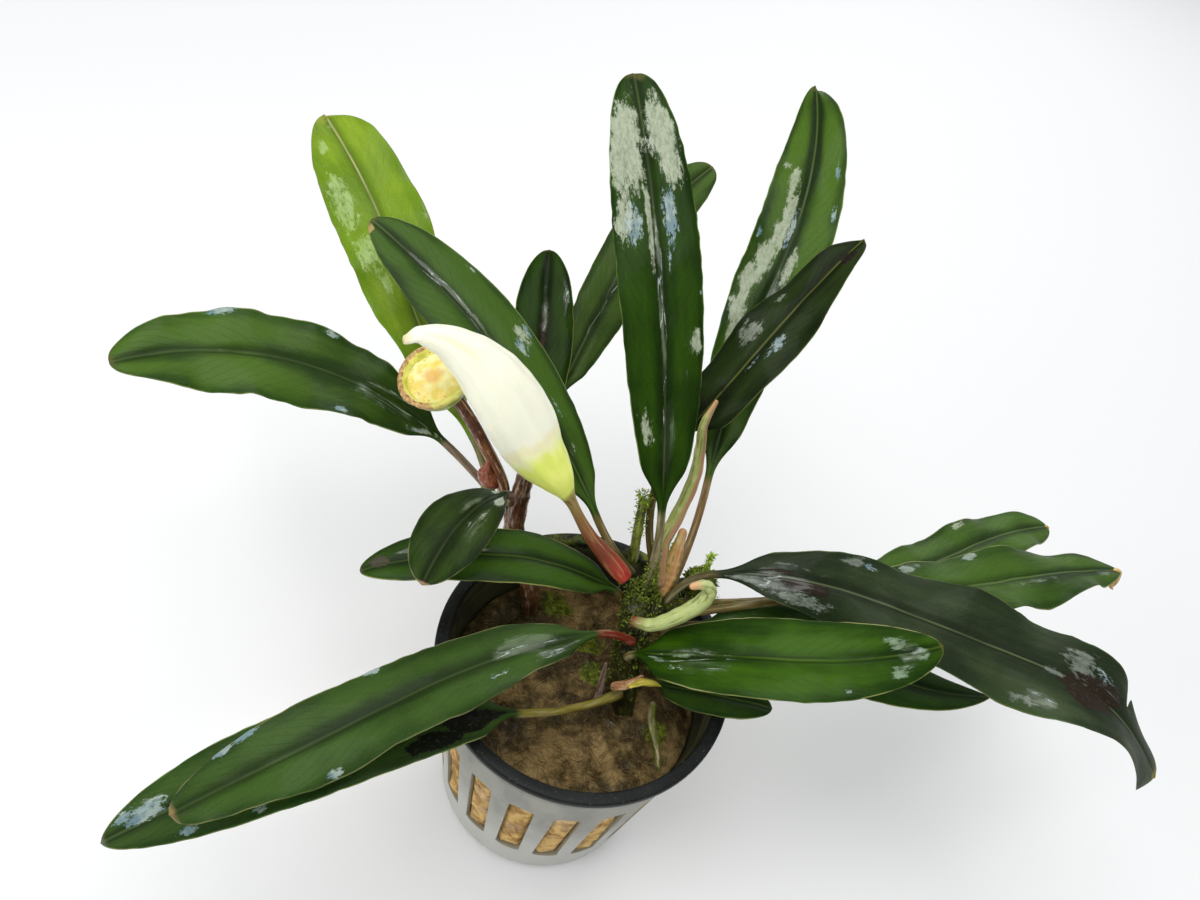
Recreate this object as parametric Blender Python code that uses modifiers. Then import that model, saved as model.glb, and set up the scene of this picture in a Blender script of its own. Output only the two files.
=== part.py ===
"""A potted aquarium plant with strap-shaped leaves, in flower, in a slotted grower's pot.

A tapered net pot holds a plug of rock wool. Two creeping stems are rooted in the plug.
Stalked leaves, two rolled young leaves, a hooded flower and a spent fruit cup grow from them.
The origin is the centre of the pot's flat underside, +Z is up, and the plant leans to +Y.
Lengths below are millimetres, angles are degrees.
"""

import math

import bmesh
import bpy
import numpy as np
from mathutils import Matrix, Vector

MM = 0.001

# The pot, a standard 5 cm net pot
POT_HEIGHT = 50.0
RIM_RADIUS = 26.0
WALL_TOP_RADIUS = 24.9
WALL_LOW_RADIUS = 20.2
BASE_RADIUS = 18.4
WALL = 1.1
LIP_HEIGHT = 1.6
FLOOR = 1.4
SLOT_COUNT = 18
SLOT_WIDTH = 4.6
SLOT_LOW, SLOT_HIGH = 11.0, 36.5
SLOT_INNER, SLOT_OUTER = 17.0, 28.0
FOOT_HEIGHT = 4.0
LIP_ROUNDING = 0.4
FLOOR_SLOT_COUNT = 8
FLOOR_SLOT_WIDTH = 2.6
FLOOR_SLOT_INNER, FLOOR_SLOT_OUTER = 7.5, 15.5

# The rock wool plug inside it
GAP = 0.35
PLUG_TOP = 40.6
PLUG_EDGE_DROP = 1.6
PLUG_UNEVENNESS = 1.1
HOLE_DEPTH = 24.0

# Leaves: a round stalk that flattens into a blade with a raised midrib below
STALK_RADIUS = 0.7
BLADE_THICKNESS = 0.7
RIB_DEPTH = 0.5
RIB_TAPER = 0.3
FLATTENED_BY = 0.12
STALK_STATIONS = 4
BLADE_STATIONS = 13
END_CROWDING = 0.65
RIPPLE_POWER = 1.5

# Each leaf by its own growth: where its stalk starts, then the heading (0 is +X, 90 is +Y) and
# the rise of the midrib at the foot, at the blade's base, along the blade and at its tip, the
# lengths of stalk and blade, the width, where the blade is fullest, how blunt it is, its roll at
# base, middle and tip, and the ripple of its two margins as (height, waves, start).
# A rippled blade has more stations along it
LEAVES = {
    "leaf_far_left": dict(
        foot=(-23.9, 16.4, 57.5), aims=((-193, 35), (-182, 30), (-156, 14), (-125, 1)),
        stalk=16, blade=57, width=15.5, fullest=0.59, blunt=0.61, roll=(18, 23, 18),
        ripple=((0.6, 5.0, 0.92), (1.0, 3.3, 0.26)), stations=18),
    "leaf_yellow_green": dict(
        foot=(-26.8, 13.8, 64.0), aims=((121, 25), (146, 17), (138, 25), (150, 15)),
        stalk=10, blade=68, width=16.9, fullest=0.67, blunt=0.67, roll=(-4, 17, 20),
        ripple=((1.3, 3.6, 0.03), (1.3, 4.1, 0.0)), foot_radius=1.3, stations=18,
        finish="leaf_young"),
    "leaf_behind_spathe": dict(
        foot=(1.7, 12.2, 60.8), aims=((186, 42), (145, 31), (160, 22), (171, 15)),
        stalk=12, blade=64, width=14.8, fullest=0.58, blunt=0.64, roll=(0, 9, 20)),
    "leaf_back_small": dict(
        foot=(-22.8, 18.4, 70.3), aims=((71, 29), (116, 24), (113, 22), (110, 20)),
        stalk=8, blade=33, width=11.1, fullest=0.50, blunt=0.50, roll=(1, 4, 9),
        finish="leaf_dark"),
    "leaf_back_long": dict(
        foot=(-20.2, 19.2, 68.7), aims=((112, 4), (91, 19), (86, 22), (66, 13)),
        stalk=14, blade=63, width=12.0, fullest=0.60, blunt=0.52, roll=(0, -5, -15),
        finish="leaf_dark"),
    "leaf_tall_front": dict(
        foot=(4.7, 9.3, 62.3), aims=((95, 63), (118, 46), (125, 38), (127, 27)),
        stalk=13, blade=75, width=14.7, fullest=0.57, blunt=0.46, roll=(4, 12, 20)),
    "leaf_right_rear": dict(
        foot=(8.8, 12.4, 60.4), aims=((86, 32), (101, 32), (88, 36), (113, 15)),
        stalk=20, blade=82, width=14.6, fullest=0.56, blunt=0.59, roll=(-4, 0, 26),
        ripple=((1.1, 3.7, -0.05), (-1.4, 2.65, 0.9)), stations=18),
    "leaf_right_front": dict(
        foot=(5.6, 14.2, 60.6), aims=((149, 45), (64, 44), (67, 37), (63, 28)),
        stalk=26, blade=46, width=11.6, fullest=0.40, blunt=0.46, roll=(-3, 3, 10),
        ripple=((1.4, 1.8, 0.77), (-1.2, 2.6, 0.51)), stations=14, finish="leaf_dark"),
    "leaf_east_far": dict(
        foot=(8.4, 11.9, 57.0), aims=((22, 2), (40, 1), (51, -1), (41, -13)),
        stalk=38, blade=55, width=12.2, fullest=0.50, blunt=0.45, roll=(2, 6, 0),
        ripple=((1.6, 3.5, 0.46), (-1.0, 3.0, -0.92)), stations=16),
    "leaf_east_middle": dict(
        foot=(9.2, 7.6, 58.2), aims=((34, 8), (26, 7), (36, 2), (36, -14)),
        stalk=37, blade=59, width=14.1, fullest=0.42, blunt=0.53, roll=(-3, 3, 13),
        ripple=((-2.0, 3.3, -0.75), (-1.4, 2.5, 0.45)), stations=17),
    "leaf_east_dark": dict(
        foot=(8.8, 9.4, 60.6), aims=((68, 54), (24, 10), (1, 2), (-2, 4), (-21, -46)),
        stalk=10, blade=86, width=17.2, fullest=0.66, blunt=0.43, roll=(-31, -18, 12),
        ripple=((-2.3, 2.65, 1.57), (-1.7, 3.7, -1.16)), stations=20),
    "leaf_front_right": dict(
        foot=(6.5, 1.2, 52.8), aims=((7, 80), (-4, 46), (14, 15), (40, 3)),
        stalk=2, blade=53, width=14.6, fullest=0.48, blunt=0.54, roll=(-9, -6, -11)),
    "leaf_east_under": dict(
        foot=(9.9, 6.9, 55.5), aims=((47, -2), (19, 16), (2, -10), (27, -2)),
        stalk=7, blade=56, width=13.1, fullest=0.40, blunt=0.66, roll=(-10, -5, 9)),
    "leaf_front_under": dict(
        foot=(11.2, 1.2, 47.2), aims=((-10, 50), (-4, 34), (4, 16), (10, 0)),
        stalk=3, blade=20, width=8.0, fullest=0.50, blunt=0.55, roll=(-6, -4, 0)),
    "leaf_west_upper": dict(
        foot=(6.2, 2.5, 56.0), aims=((-161, 36), (-134, 21), (-127, -4), (-132, -17)),
        stalk=8, blade=69, width=12.9, fullest=0.58, blunt=0.59, roll=(0, 0, 4),
        ripple=((0.8, 1.5, 1.04), (-1.2, 3.1, 0.09)), foot_radius=0.9),
    "leaf_west_lower": dict(
        foot=(7.8, -1.8, 46.0), aims=((-123, 18), (-147, 16), (-136, -5), (-132, -20)),
        stalk=21, blade=63, width=14.2, fullest=0.51, blunt=0.62, roll=(-4, 5, 12),
        foot_radius=1.0),
    "leaf_round": dict(
        foot=(-22.2, 12.8, 64.5), aims=((-77, 80), (-107, 39), (-96, 16), (-84, -1)),
        stalk=8, blade=29, width=10.8, fullest=0.60, blunt=0.70, roll=(0, 4, 5)),
    "leaf_west_small": dict(
        foot=(1.3, 7.7, 59.2), aims=((-164, 80), (-167, 30), (-154, 3), (-141, -14)),
        stalk=2, blade=44, width=10.4, fullest=0.51, blunt=0.54, roll=(6, 3, 3)),
}

# Stems, roots, rolled leaves and dry scales: each a path of points (x, y, z, radius)
MAIN_STEM = ((9.6, -0.6, 30.0, 1.6), (9.6, -0.6, 40.0, 2.0), (7.2, 2.9, 47.0, 2.5),
             (5.7, 6.1, 54.5, 2.9), (5.1, 9.3, 60.4, 2.6), (5.0, 9.6, 61.4, 1.6))
SECOND_STEM = ((-13.4, 11.0, 31.0, 1.3), (-13.4, 11.0, 41.0, 1.5), (-15.5, 11.8, 47.6, 1.7),
               (-20.2, 14.2, 54.5, 1.7), (-21.5, 15.6, 62.0, 1.5), (-21.6, 17.2, 68.2, 1.3))
SPENT_STALK = ((0.9, 14.2, 61.8, 0.9), (0.0, 16.2, 65.6, 0.9), (-1.2, 19.8, 70.4, 0.8))
ROLLED_LEAF = ((6.6, 11.4, 62.9, 1.2), (4.4, 15.3, 67.0, 1.5), (4.9, 19.2, 70.5, 1.3),
               (5.1, 23.8, 76.0, 1.2), (4.1, 26.1, 81.0, 1.0), (3.0, 27.0, 86.0, 0.8),
               (3.4, 28.8, 90.0, 0.35))
CURLED_LEAF = ((5.3, 3.9, 59.7, 1.0), (8.2, 3.5, 61.5, 1.2), (11.3, 4.6, 65.0, 1.4),
               (13.7, 6.5, 68.0, 1.5), (14.3, 7.7, 70.6, 1.3), (12.9, 7.2, 72.2, 1.0),
               (11.3, 5.9, 72.5, 0.6))
FRONT_ROOT = ((14.0, -0.9, 45.4, 0.6), (15.0, -2.6, 42.9, 0.6), (16.8, -5.6, 42.3, 0.5),
              (18.6, -9.6, 42.2, 0.4))
FRONT_SCALE = ((4.9, -3.6, 43.4, 0.9), (4.4, -2.8, 46.5, 0.7), (3.6, -1.4, 52.5, 0.35))
SIDE_SCALE = ((6.6, -2.9, 49.5, 0.9), (8.4, -2.2, 50.5, 1.0), (10.0, -0.6, 51.6, 0.6))
MOSS_CLUMP = (13.2, 15.8, 60.9)
MOSS_RADIUS = 2.9

# The flower: a stalk that swells into a hooded spathe with a pointed tip. Each section is
# (x, y, z, half width, half depth)
SPATHE = ((1.0, 8.5, 63.6, 1.3, 1.3), (-1.6, 8.9, 65.3, 1.6, 1.6), (-7.2, 9.5, 69.4, 1.1, 1.1),
          (-12.0, 10.4, 74.6, 0.9, 0.9), (-15.2, 11.2, 77.6, 2.6, 2.2),
          (-19.7, 12.3, 80.7, 4.6, 3.2), (-23.8, 13.5, 84.5, 5.6, 3.6),
          (-28.2, 14.3, 88.6, 5.8, 3.4), (-32.8, 14.4, 91.9, 4.9, 2.8),
          (-37.4, 13.2, 94.6, 3.2, 2.0), (-40.8, 11.0, 96.2, 1.5, 1.1),
          (-42.6, 9.5, 96.8, 0.5, 0.5))
SPATHE_POINTS = 8
SPATHE_KEEL = 0.25

# The spent flower: a cup on a stalk, full of berries. The rings are (radius, how many)
CUP_STALK = ((-24.3, 14.2, 58.4, 1.0), (-24.7, 15.3, 65.0, 1.1), (-30.6, 17.2, 72.0, 1.1),
             (-35.2, 18.5, 76.2, 1.1), (-38.6, 19.2, 78.6, 1.2))
CUP_MIDDLE = (-40.1, 15.6, 84.0)
CUP_FACING = (-0.13, -0.54, 0.83)
CUP_RADIUS = 5.7
CUP_DEPTH = 6.8
CUP_WALL = 0.8
CUP_LIP = 0.35
CUP_PROFILE_TURNS = (90, 75, 55, 35, 18)
CUP_SEGMENTS = 14
BERRY_RADIUS = 1.2
BERRY_RINGS = ((0.0, 1), (1.6, 5), (2.7, 9))
BERRY_DROP = 0.5
BERRY_DOME = 0.05

# Finishes: colour, roughness, metallic
FINISHES = {
    "leaf_green": ((0.060, 0.170, 0.030), 0.35, 0.0),
    "leaf_dark": ((0.020, 0.055, 0.020), 0.35, 0.0),
    "leaf_young": ((0.250, 0.420, 0.050), 0.40, 0.0),
    "stem": ((0.110, 0.060, 0.030), 0.50, 0.0),
    "root": ((0.380, 0.250, 0.130), 0.60, 0.0),
    "spathe": ((0.900, 0.880, 0.620), 0.45, 0.0),
    "fruit_cup": ((0.200, 0.170, 0.050), 0.45, 0.0),
    "berries": ((0.800, 0.600, 0.200), 0.45, 0.0),
    "moss": ((0.160, 0.220, 0.030), 0.90, 0.0),
    "rock_wool": ((0.200, 0.130, 0.060), 0.95, 0.0),
    "pot_plastic": ((0.040, 0.042, 0.045), 0.45, 0.0),
}


def clear_scene():
    for item in list(bpy.data.objects):
        bpy.data.objects.remove(item, do_unlink=True)


def collection(name, hidden=False):
    made = bpy.data.collections.new(name)
    bpy.context.scene.collection.children.link(made)
    made.hide_render = hidden
    return made


def surface(name):
    """The named material, made the first time that it is asked for."""
    found = bpy.data.materials.get(name)
    if found:
        return found
    colour, roughness, metallic = FINISHES[name]
    made = bpy.data.materials.new(name)
    made.use_nodes = True
    shader = made.node_tree.nodes["Principled BSDF"]
    shader.inputs["Base Color"].default_value = (*colour, 1.0)
    shader.inputs["Roughness"].default_value = roughness
    shader.inputs["Metallic"].default_value = metallic
    return made


def add_object(name, data, group, material=None):
    made = bpy.data.objects.new(name, data)
    group.objects.link(made)
    if material:
        data.materials.append(surface(material))
    return made


def as_cutter(item):
    item.hide_render = True
    item.display_type = "WIRE"
    return item


def cut(target, cutter, operation="DIFFERENCE"):
    modifier = target.modifiers.new(operation.lower(), "BOOLEAN")
    modifier.operation = operation
    modifier.solver = "EXACT"
    modifier.object = cutter
    return modifier


def solid_copy(item, name, group, material):
    """A closed mesh of what a curve or a modified mesh evaluates to, in place of the item."""
    graph = bpy.context.evaluated_depsgraph_get()
    mesh = bpy.data.meshes.new_from_object(item.evaluated_get(graph))
    body = bmesh.new()
    body.from_mesh(mesh)
    bmesh.ops.remove_doubles(body, verts=body.verts, dist=0.00001)
    bmesh.ops.recalc_face_normals(body, faces=body.faces)
    body.to_mesh(mesh)
    body.free()
    mesh.materials.clear()
    place = item.matrix_world.copy()
    bpy.data.objects.remove(item, do_unlink=True)
    made = add_object(name, mesh, group, material)
    made.matrix_world = place
    return made


def smooth_path(points, per_span):
    """Points along a Catmull-Rom curve through the given ones, every column blended alike."""
    rows = np.array(points, float)
    ends = np.vstack([2 * rows[0] - rows[1], rows, 2 * rows[-1] - rows[-2]])
    made = []
    for i in range(len(rows) - 1):
        before, start, stop, after = ends[i:i + 4]
        for t in np.arange(per_span) / per_span:
            made.append(0.5 * (2 * start + (stop - before) * t
                               + (2 * before - 5 * start + 4 * stop - after) * t ** 2
                               + (3 * start - before - 3 * stop + after) * t ** 3))
    return np.vstack([made, rows[-1:]])


def tube(name, points, group, material=None, per_span=2):
    """A round stem along the points, its radius changing from one to the next."""
    path = smooth_path(points, per_span)
    data = bpy.data.curves.new(name, "CURVE")
    data.dimensions = "3D"
    data.bevel_depth = MM
    data.bevel_resolution = 2
    data.use_fill_caps = True
    spline = data.splines.new("POLY")
    spline.points.add(len(path) - 1)
    for point, (x, y, z, radius) in zip(spline.points, path):
        point.co = (x * MM, y * MM, z * MM, 1.0)
        point.radius = radius
    return add_object(name, data, group, material)


def loft(name, rings, group, material, smooth=True):
    """A closed skin over rings of points, each ring the same count, ends filled with a fan.

    The first half of a ring is the upper face and the rest the lower one. A pair of triangles
    on one is split along the same diagonal as the pair behind it, so that a thin twisted strip
    never crosses itself.
    """
    rings = np.array(rings, float) * MM
    count = rings.shape[1]
    verts = [tuple(point) for ring in rings for point in ring]
    faces = []
    for row in range(len(rings) - 1):
        for i in range(count):
            a = row * count + i
            b = row * count + (i + 1) % count
            if i < count // 2:
                faces += [(a, b, b + count), (a, b + count, a + count)]
            else:
                faces += [(a, b, a + count), (b, b + count, a + count)]
    last = (len(rings) - 1) * count
    faces.append(tuple(reversed(range(count))))
    faces.append(tuple(range(last, last + count)))
    mesh = bpy.data.meshes.new(name)
    mesh.from_pydata(verts, [], faces)
    body = bmesh.new()
    body.from_mesh(mesh)
    bmesh.ops.triangulate(body, faces=[face for face in body.faces if len(face.verts) > 4])
    bmesh.ops.recalc_face_normals(body, faces=body.faces)
    body.to_mesh(mesh)
    body.free()
    if smooth:
        mesh.shade_smooth()
    return add_object(name, mesh, group, material)


def unit(rows):
    return rows / np.linalg.norm(rows, axis=-1, keepdims=True)


def midrib(foot, aims, stalk, blade, stations):
    """The midrib's distances, points and directions at its stations, from walking along it.

    The heading and the rise change evenly with distance between the aims: the first at the
    foot, the others spread evenly along the blade from its base to its tip. The stations
    crowd towards the blade's two ends.
    """
    stops = np.concatenate([[-stalk], np.linspace(0, blade, len(aims) - 1)])
    fine = np.linspace(-stalk, blade, 241)
    heading, rise = (np.radians(np.interp(fine, stops, column)) for column in zip(*aims))
    ways = np.stack([np.cos(rise) * np.cos(heading), np.cos(rise) * np.sin(heading),
                     np.sin(rise)], axis=-1)
    steps = (ways[:-1] + ways[1:]) / 2 * np.diff(fine)[:, None]
    walk = np.array(foot, float) + np.vstack([np.zeros(3), np.cumsum(steps, axis=0)])
    even = np.linspace(0, 1, stations + 1)
    crowded = even - END_CROWDING * np.sin(2 * math.pi * even) / (2 * math.pi)
    along = np.concatenate([np.linspace(-stalk, 0, STALK_STATIONS)[:-1], blade * crowded])
    points = np.stack([np.interp(along, fine, walk[:, i]) for i in range(3)], axis=-1)
    aimed = unit(np.stack([np.interp(along, fine, ways[:, i]) for i in range(3)], axis=-1))
    return along, points, aimed


def blade_outline(share, fullest, blunt):
    """Half width as a share of the widest: 1 where it is fullest, 0 at the base and the tip."""
    share = np.clip(share, 1e-6, 1 - 1e-6)
    return ((share / fullest) ** (2 * blunt * fullest)
            * ((1 - share) / (1 - fullest)) ** (2 * blunt * (1 - fullest)))


def leaf(name, group, foot, aims, stalk, blade, width, fullest, blunt, roll,
         ripple=((0, 1, 0), (0, 1, 0)), foot_radius=STALK_RADIUS, stations=BLADE_STATIONS,
         finish="leaf_green"):
    """One leaf as a closed solid of eight-point rings, from the stalk's foot to the tip.

    Every ring goes from a circle on the stalk to a flat strip with a rib below on the blade:
    across holds the sideways places of its eight points, and depth the heights.
    """
    along, points, aimed = midrib(foot, aims, stalk, blade, stations)
    share = np.clip(along / blade, 0, 1)
    level = unit(np.cross(aimed, [0, 0, 1]))
    raised = np.cross(level, aimed)
    turn = np.radians(np.interp(share, np.linspace(0, 1, len(roll)), roll))[:, None]
    side = level * np.cos(turn) + raised * np.sin(turn)
    up = raised * np.cos(turn) - level * np.sin(turn)

    flat = np.clip(along / (FLATTENED_BY * blade), 0, 1)[:, None]
    radius = STALK_RADIUS + (foot_radius - STALK_RADIUS) * np.clip(-along * 3 / stalk - 2, 0, 1)
    least = radius * (1 - 0.6 * share)
    half = np.maximum(width / 2 * blade_outline(share, fullest, blunt), least)
    thin = BLADE_THICKNESS / 2
    corner = math.sqrt(0.5)
    round_across = np.array([1, corner, 0, -corner, -1, -corner, 0, corner])
    round_depth = np.array([0, corner, 1, corner, 0, -corner, -1, -corner])
    flat_across = np.array([1, 0.5, 0, -0.5, -1, -0.5, 0, 0.5])
    flat_depth = np.array([0, thin, 0.6 * thin, thin, 0, -thin, -thin - RIB_DEPTH, -thin])
    taper = 1 - RIB_TAPER * share[:, None]
    across = round_across * radius[:, None] * (1 - flat) + flat_across * half[:, None] * flat
    depth = round_depth * radius[:, None] * (1 - flat) + flat_depth * taper * flat

    lift = np.zeros_like(across)
    for sign, (height, waves, start) in zip((1, -1), ripple):
        wave = height * np.sin(2 * math.pi * (waves * share + start)) * np.minimum(1, 4 * share)
        reach = np.where(flat_across * sign > 0, np.abs(flat_across) ** RIPPLE_POWER, 0)
        lift += reach * wave[:, None]
    rings = (points[:, None, :] + side[:, None, :] * across[..., None]
             + up[:, None, :] * (depth + lift)[..., None])
    return loft(name, rings, group, finish)


def turned(name, profile, segments, group, material=None):
    """A profile of (radius, height), top to bottom on its outer side, turned about Z."""
    mesh = bpy.data.meshes.new(name)
    verts = [(radius * MM, 0.0, height * MM) for radius, height in profile]
    mesh.from_pydata(verts, [(i, i + 1) for i in range(len(verts) - 1)], [])
    made = add_object(name, mesh, group, material)
    screw = made.modifiers.new("turn", "SCREW")
    screw.steps = segments
    screw.render_steps = segments
    screw.use_merge_vertices = True
    screw.merge_threshold = 0.00001
    screw.use_smooth_shade = True
    return made


def slot_cutter(name, count, width, inner, outer, low, high, group):
    """A ring of upright boxes, one for each slot, in one mesh."""
    body = bmesh.new()
    for i in range(count):
        angle = 2 * math.pi * (i + 0.5) / count
        place = (Matrix.Rotation(angle, 4, "Z")
                 @ Matrix.Translation(Vector(((inner + outer) / 2, 0, (low + high) / 2)) * MM)
                 @ Matrix.Diagonal((*(Vector((outer - inner, width, high - low)) * MM), 1)))
        bmesh.ops.create_cube(body, size=1.0, matrix=place)
    mesh = bpy.data.meshes.new(name)
    body.to_mesh(mesh)
    body.free()
    return as_cutter(add_object(name, mesh, group))


def pot_radius(height):
    """The outer radius of the pot's wall at a height above its foot."""
    share = (height - FOOT_HEIGHT) / (POT_HEIGHT - LIP_HEIGHT - FOOT_HEIGHT)
    return WALL_LOW_RADIUS + (WALL_TOP_RADIUS - WALL_LOW_RADIUS) * share


def net_pot(group, cutters):
    """A thin tapered pot with a rolled lip, one row of tall slots and a slotted floor."""
    lip_low = POT_HEIGHT - LIP_HEIGHT
    profile = [
        (0, FLOOR),
        (BASE_RADIUS - WALL, FLOOR),
        (WALL_LOW_RADIUS - WALL, FOOT_HEIGHT),
        (WALL_TOP_RADIUS - WALL, lip_low),
        (WALL_TOP_RADIUS - WALL, POT_HEIGHT),
        (RIM_RADIUS - LIP_ROUNDING, POT_HEIGHT),
        (RIM_RADIUS, POT_HEIGHT - LIP_ROUNDING),
        (RIM_RADIUS, lip_low),
        (WALL_TOP_RADIUS, lip_low - LIP_ROUNDING),
        (WALL_LOW_RADIUS, FOOT_HEIGHT),
        (BASE_RADIUS, 0),
        (0, 0),
    ]
    made = turned("net_pot", profile, 2 * SLOT_COUNT, group, "pot_plastic")
    cut(made, slot_cutter("wall_slots", SLOT_COUNT, SLOT_WIDTH, SLOT_INNER, SLOT_OUTER,
                          SLOT_LOW, SLOT_HIGH, cutters))
    cut(made, slot_cutter("floor_slots", FLOOR_SLOT_COUNT, FLOOR_SLOT_WIDTH, FLOOR_SLOT_INNER,
                          FLOOR_SLOT_OUTER, -FLOOR, 2 * FLOOR, cutters))
    return made


def rock_wool(group, cutters, stems):
    """The plug: it fills the pot to below the rim, its top is uneven, and the stems sit in it."""
    inner = WALL + GAP
    edge = PLUG_TOP - PLUG_EDGE_DROP
    profile = [
        (0, PLUG_TOP),
        (0.28 * WALL_TOP_RADIUS, PLUG_TOP),
        (0.56 * WALL_TOP_RADIUS, PLUG_TOP),
        (0.80 * WALL_TOP_RADIUS, PLUG_TOP - GAP),
        (pot_radius(edge) - inner, edge),
        (WALL_LOW_RADIUS - inner, FOOT_HEIGHT),
        (BASE_RADIUS - inner - GAP, FLOOR + GAP),
        (0, FLOOR + GAP),
    ]
    made = turned("plug_raw", profile, SLOT_COUNT, group)
    made = solid_copy(made, "rock_wool", group, "rock_wool")
    for vertex in made.data.vertices:
        x, y, z = (value / MM for value in vertex.co)
        if z > edge - 1:
            reach = math.hypot(x, y) / WALL_TOP_RADIUS
            bumps = math.sin(0.42 * x + 1.3) * math.cos(0.36 * y - 0.4)
            vertex.co.z += PLUG_UNEVENNESS * (bumps - 0.6 * reach) * (1 - reach ** 6) * MM
    made.data.shade_smooth()
    for name, points in stems:
        low = Vector(points[0][:3])
        widest = max(point[3] for point in points[:3]) + 2 * GAP
        place = Matrix.Translation((low + Vector((0, 0, HOLE_DEPTH / 2 - 2 * GAP))) * MM)
        body = bmesh.new()
        bmesh.ops.create_cone(body, cap_ends=True, segments=12, radius1=widest * MM,
                              radius2=widest * MM, depth=HOLE_DEPTH * MM, matrix=place)
        mesh = bpy.data.meshes.new(name + "_hole")
        body.to_mesh(mesh)
        body.free()
        cut(made, as_cutter(add_object(name + "_hole", mesh, cutters)))
    return made


def spathe(group):
    """The flower's red stalk and cream hood in one loft: round below, a flattened boat above."""
    rows = smooth_path(SPATHE, 2)
    points, half, thick = rows[:, :3], rows[:, 3], rows[:, 4]
    aimed = unit(np.gradient(points, axis=0))
    side = unit(np.cross(aimed, [0, 0, 1]))
    up = np.cross(side, aimed)
    around = np.linspace(0, 2 * math.pi, SPATHE_POINTS + 1)[:-1]
    across = np.cos(around)[None, :] * half[:, None]
    depth = np.sin(around)[None, :] * thick[:, None]
    hood = np.clip((half - 2.0) / 3.0, 0, 1)[:, None]
    depth = np.where(depth < 0, depth * (1 + SPATHE_KEEL * hood), depth)
    rings = (points[:, None, :] + side[:, None, :] * across[..., None]
             + up[:, None, :] * depth[..., None])
    return loft("spathe", rings, group, "spathe")


def cup_place():
    """The cup's own frame: origin at the middle of its rim, +Z out of its mouth."""
    turn = Vector(CUP_FACING).to_track_quat("Z", "Y").to_matrix().to_4x4()
    return Matrix.Translation(Vector(CUP_MIDDLE) * MM) @ turn


def fruit_cup(group):
    """A bell-shaped cup joined to its stalk."""
    outer = [(CUP_RADIUS * math.sin(turn), -CUP_DEPTH * (1 - math.sin(turn) ** 3))
             for turn in np.radians(CUP_PROFILE_TURNS)]
    inner = [(radius - CUP_WALL, height) for radius, height in outer]
    lip = (CUP_RADIUS - CUP_WALL / 2, CUP_LIP)
    profile = [(0, CUP_WALL - CUP_DEPTH)] + inner[::-1] + [lip] + outer + [(0, -CUP_DEPTH)]
    cup = turned("cup_raw", profile, CUP_SEGMENTS, group)
    cup.matrix_world = cup_place()
    bpy.context.view_layer.update()
    cup = solid_copy(cup, "cup_bowl", group, "fruit_cup")
    stalk = solid_copy(tube("stalk_raw", CUP_STALK, group), "cup_stalk", group, "fruit_cup")
    cut(cup, as_cutter(stalk), "UNION")
    bpy.context.view_layer.update()
    joined = solid_copy(cup, "fruit_cup", group, "fruit_cup")
    bpy.data.objects.remove(stalk, do_unlink=True)
    return joined


def berry_places():
    """The middles of the berries in the cup's frame: rings on a low dome, the outer one turned."""
    for number, (radius, count) in enumerate(BERRY_RINGS):
        for i in range(count):
            angle = 2 * math.pi * (i + 0.5 * (number == 2)) / count
            height = -BERRY_DROP - BERRY_DOME * radius ** 2
            yield Vector((radius * math.cos(angle), radius * math.sin(angle), height))


def berries(group):
    """The ripening fruits, balls pressed together in the cup and joined one after another."""
    place = cup_place()
    made = None
    for middle in berry_places():
        body = bmesh.new()
        bmesh.ops.create_icosphere(body, subdivisions=1, radius=BERRY_RADIUS * MM,
                                   matrix=place @ Matrix.Translation(middle * MM))
        mesh = bpy.data.meshes.new("berry")
        body.to_mesh(mesh)
        body.free()
        ball = add_object("berry", mesh, group)
        if made is None:
            made = ball
            continue
        cut(made, ball, "UNION")
        bpy.context.view_layer.update()
        made = solid_copy(made, "berries", group, "berries")
        bpy.data.objects.remove(ball, do_unlink=True)
    made.name = "berries"
    return made


def moss_clump(group):
    """A lumpy cushion, an icosphere whose points are pushed out and in by smooth waves."""
    body = bmesh.new()
    bmesh.ops.create_icosphere(body, subdivisions=2, radius=MOSS_RADIUS * MM)
    for vertex in body.verts:
        x, y, z = vertex.co / MM
        lump = 1 + 0.16 * math.sin(1.9 * x + 0.5) * math.cos(1.7 * y) + 0.10 * math.sin(2.3 * z + x)
        vertex.co = vertex.co * lump + Vector(MOSS_CLUMP) * MM
    mesh = bpy.data.meshes.new("moss_clump")
    body.to_mesh(mesh)
    body.free()
    return add_object("moss_clump", mesh, group, "moss")


def build():
    clear_scene()
    plant = collection("potted_plant")
    cutters = collection("cutters", hidden=True)
    net_pot(plant, cutters)
    rock_wool(plant, cutters, (("main_stem", MAIN_STEM), ("second_stem", SECOND_STEM)))
    tube("main_stem", MAIN_STEM, plant, "stem")
    tube("second_stem", SECOND_STEM, plant, "stem")
    tube("spent_stalk", SPENT_STALK, plant, "stem")
    tube("front_root", FRONT_ROOT, plant, "root")
    tube("dry_scale_front", FRONT_SCALE, plant, "root")
    tube("dry_scale_side", SIDE_SCALE, plant, "root")
    for name, shape in LEAVES.items():
        leaf(name, plant, **shape)
    tube("rolled_leaf", ROLLED_LEAF, plant, "leaf_young")
    tube("curled_leaf", CURLED_LEAF, plant, "leaf_young")
    spathe(plant)
    fruit_cup(plant)
    berries(plant)
    moss_clump(plant)


build()
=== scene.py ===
import math

import bpy
import numpy as np
from mathutils import Matrix, Vector


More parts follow.
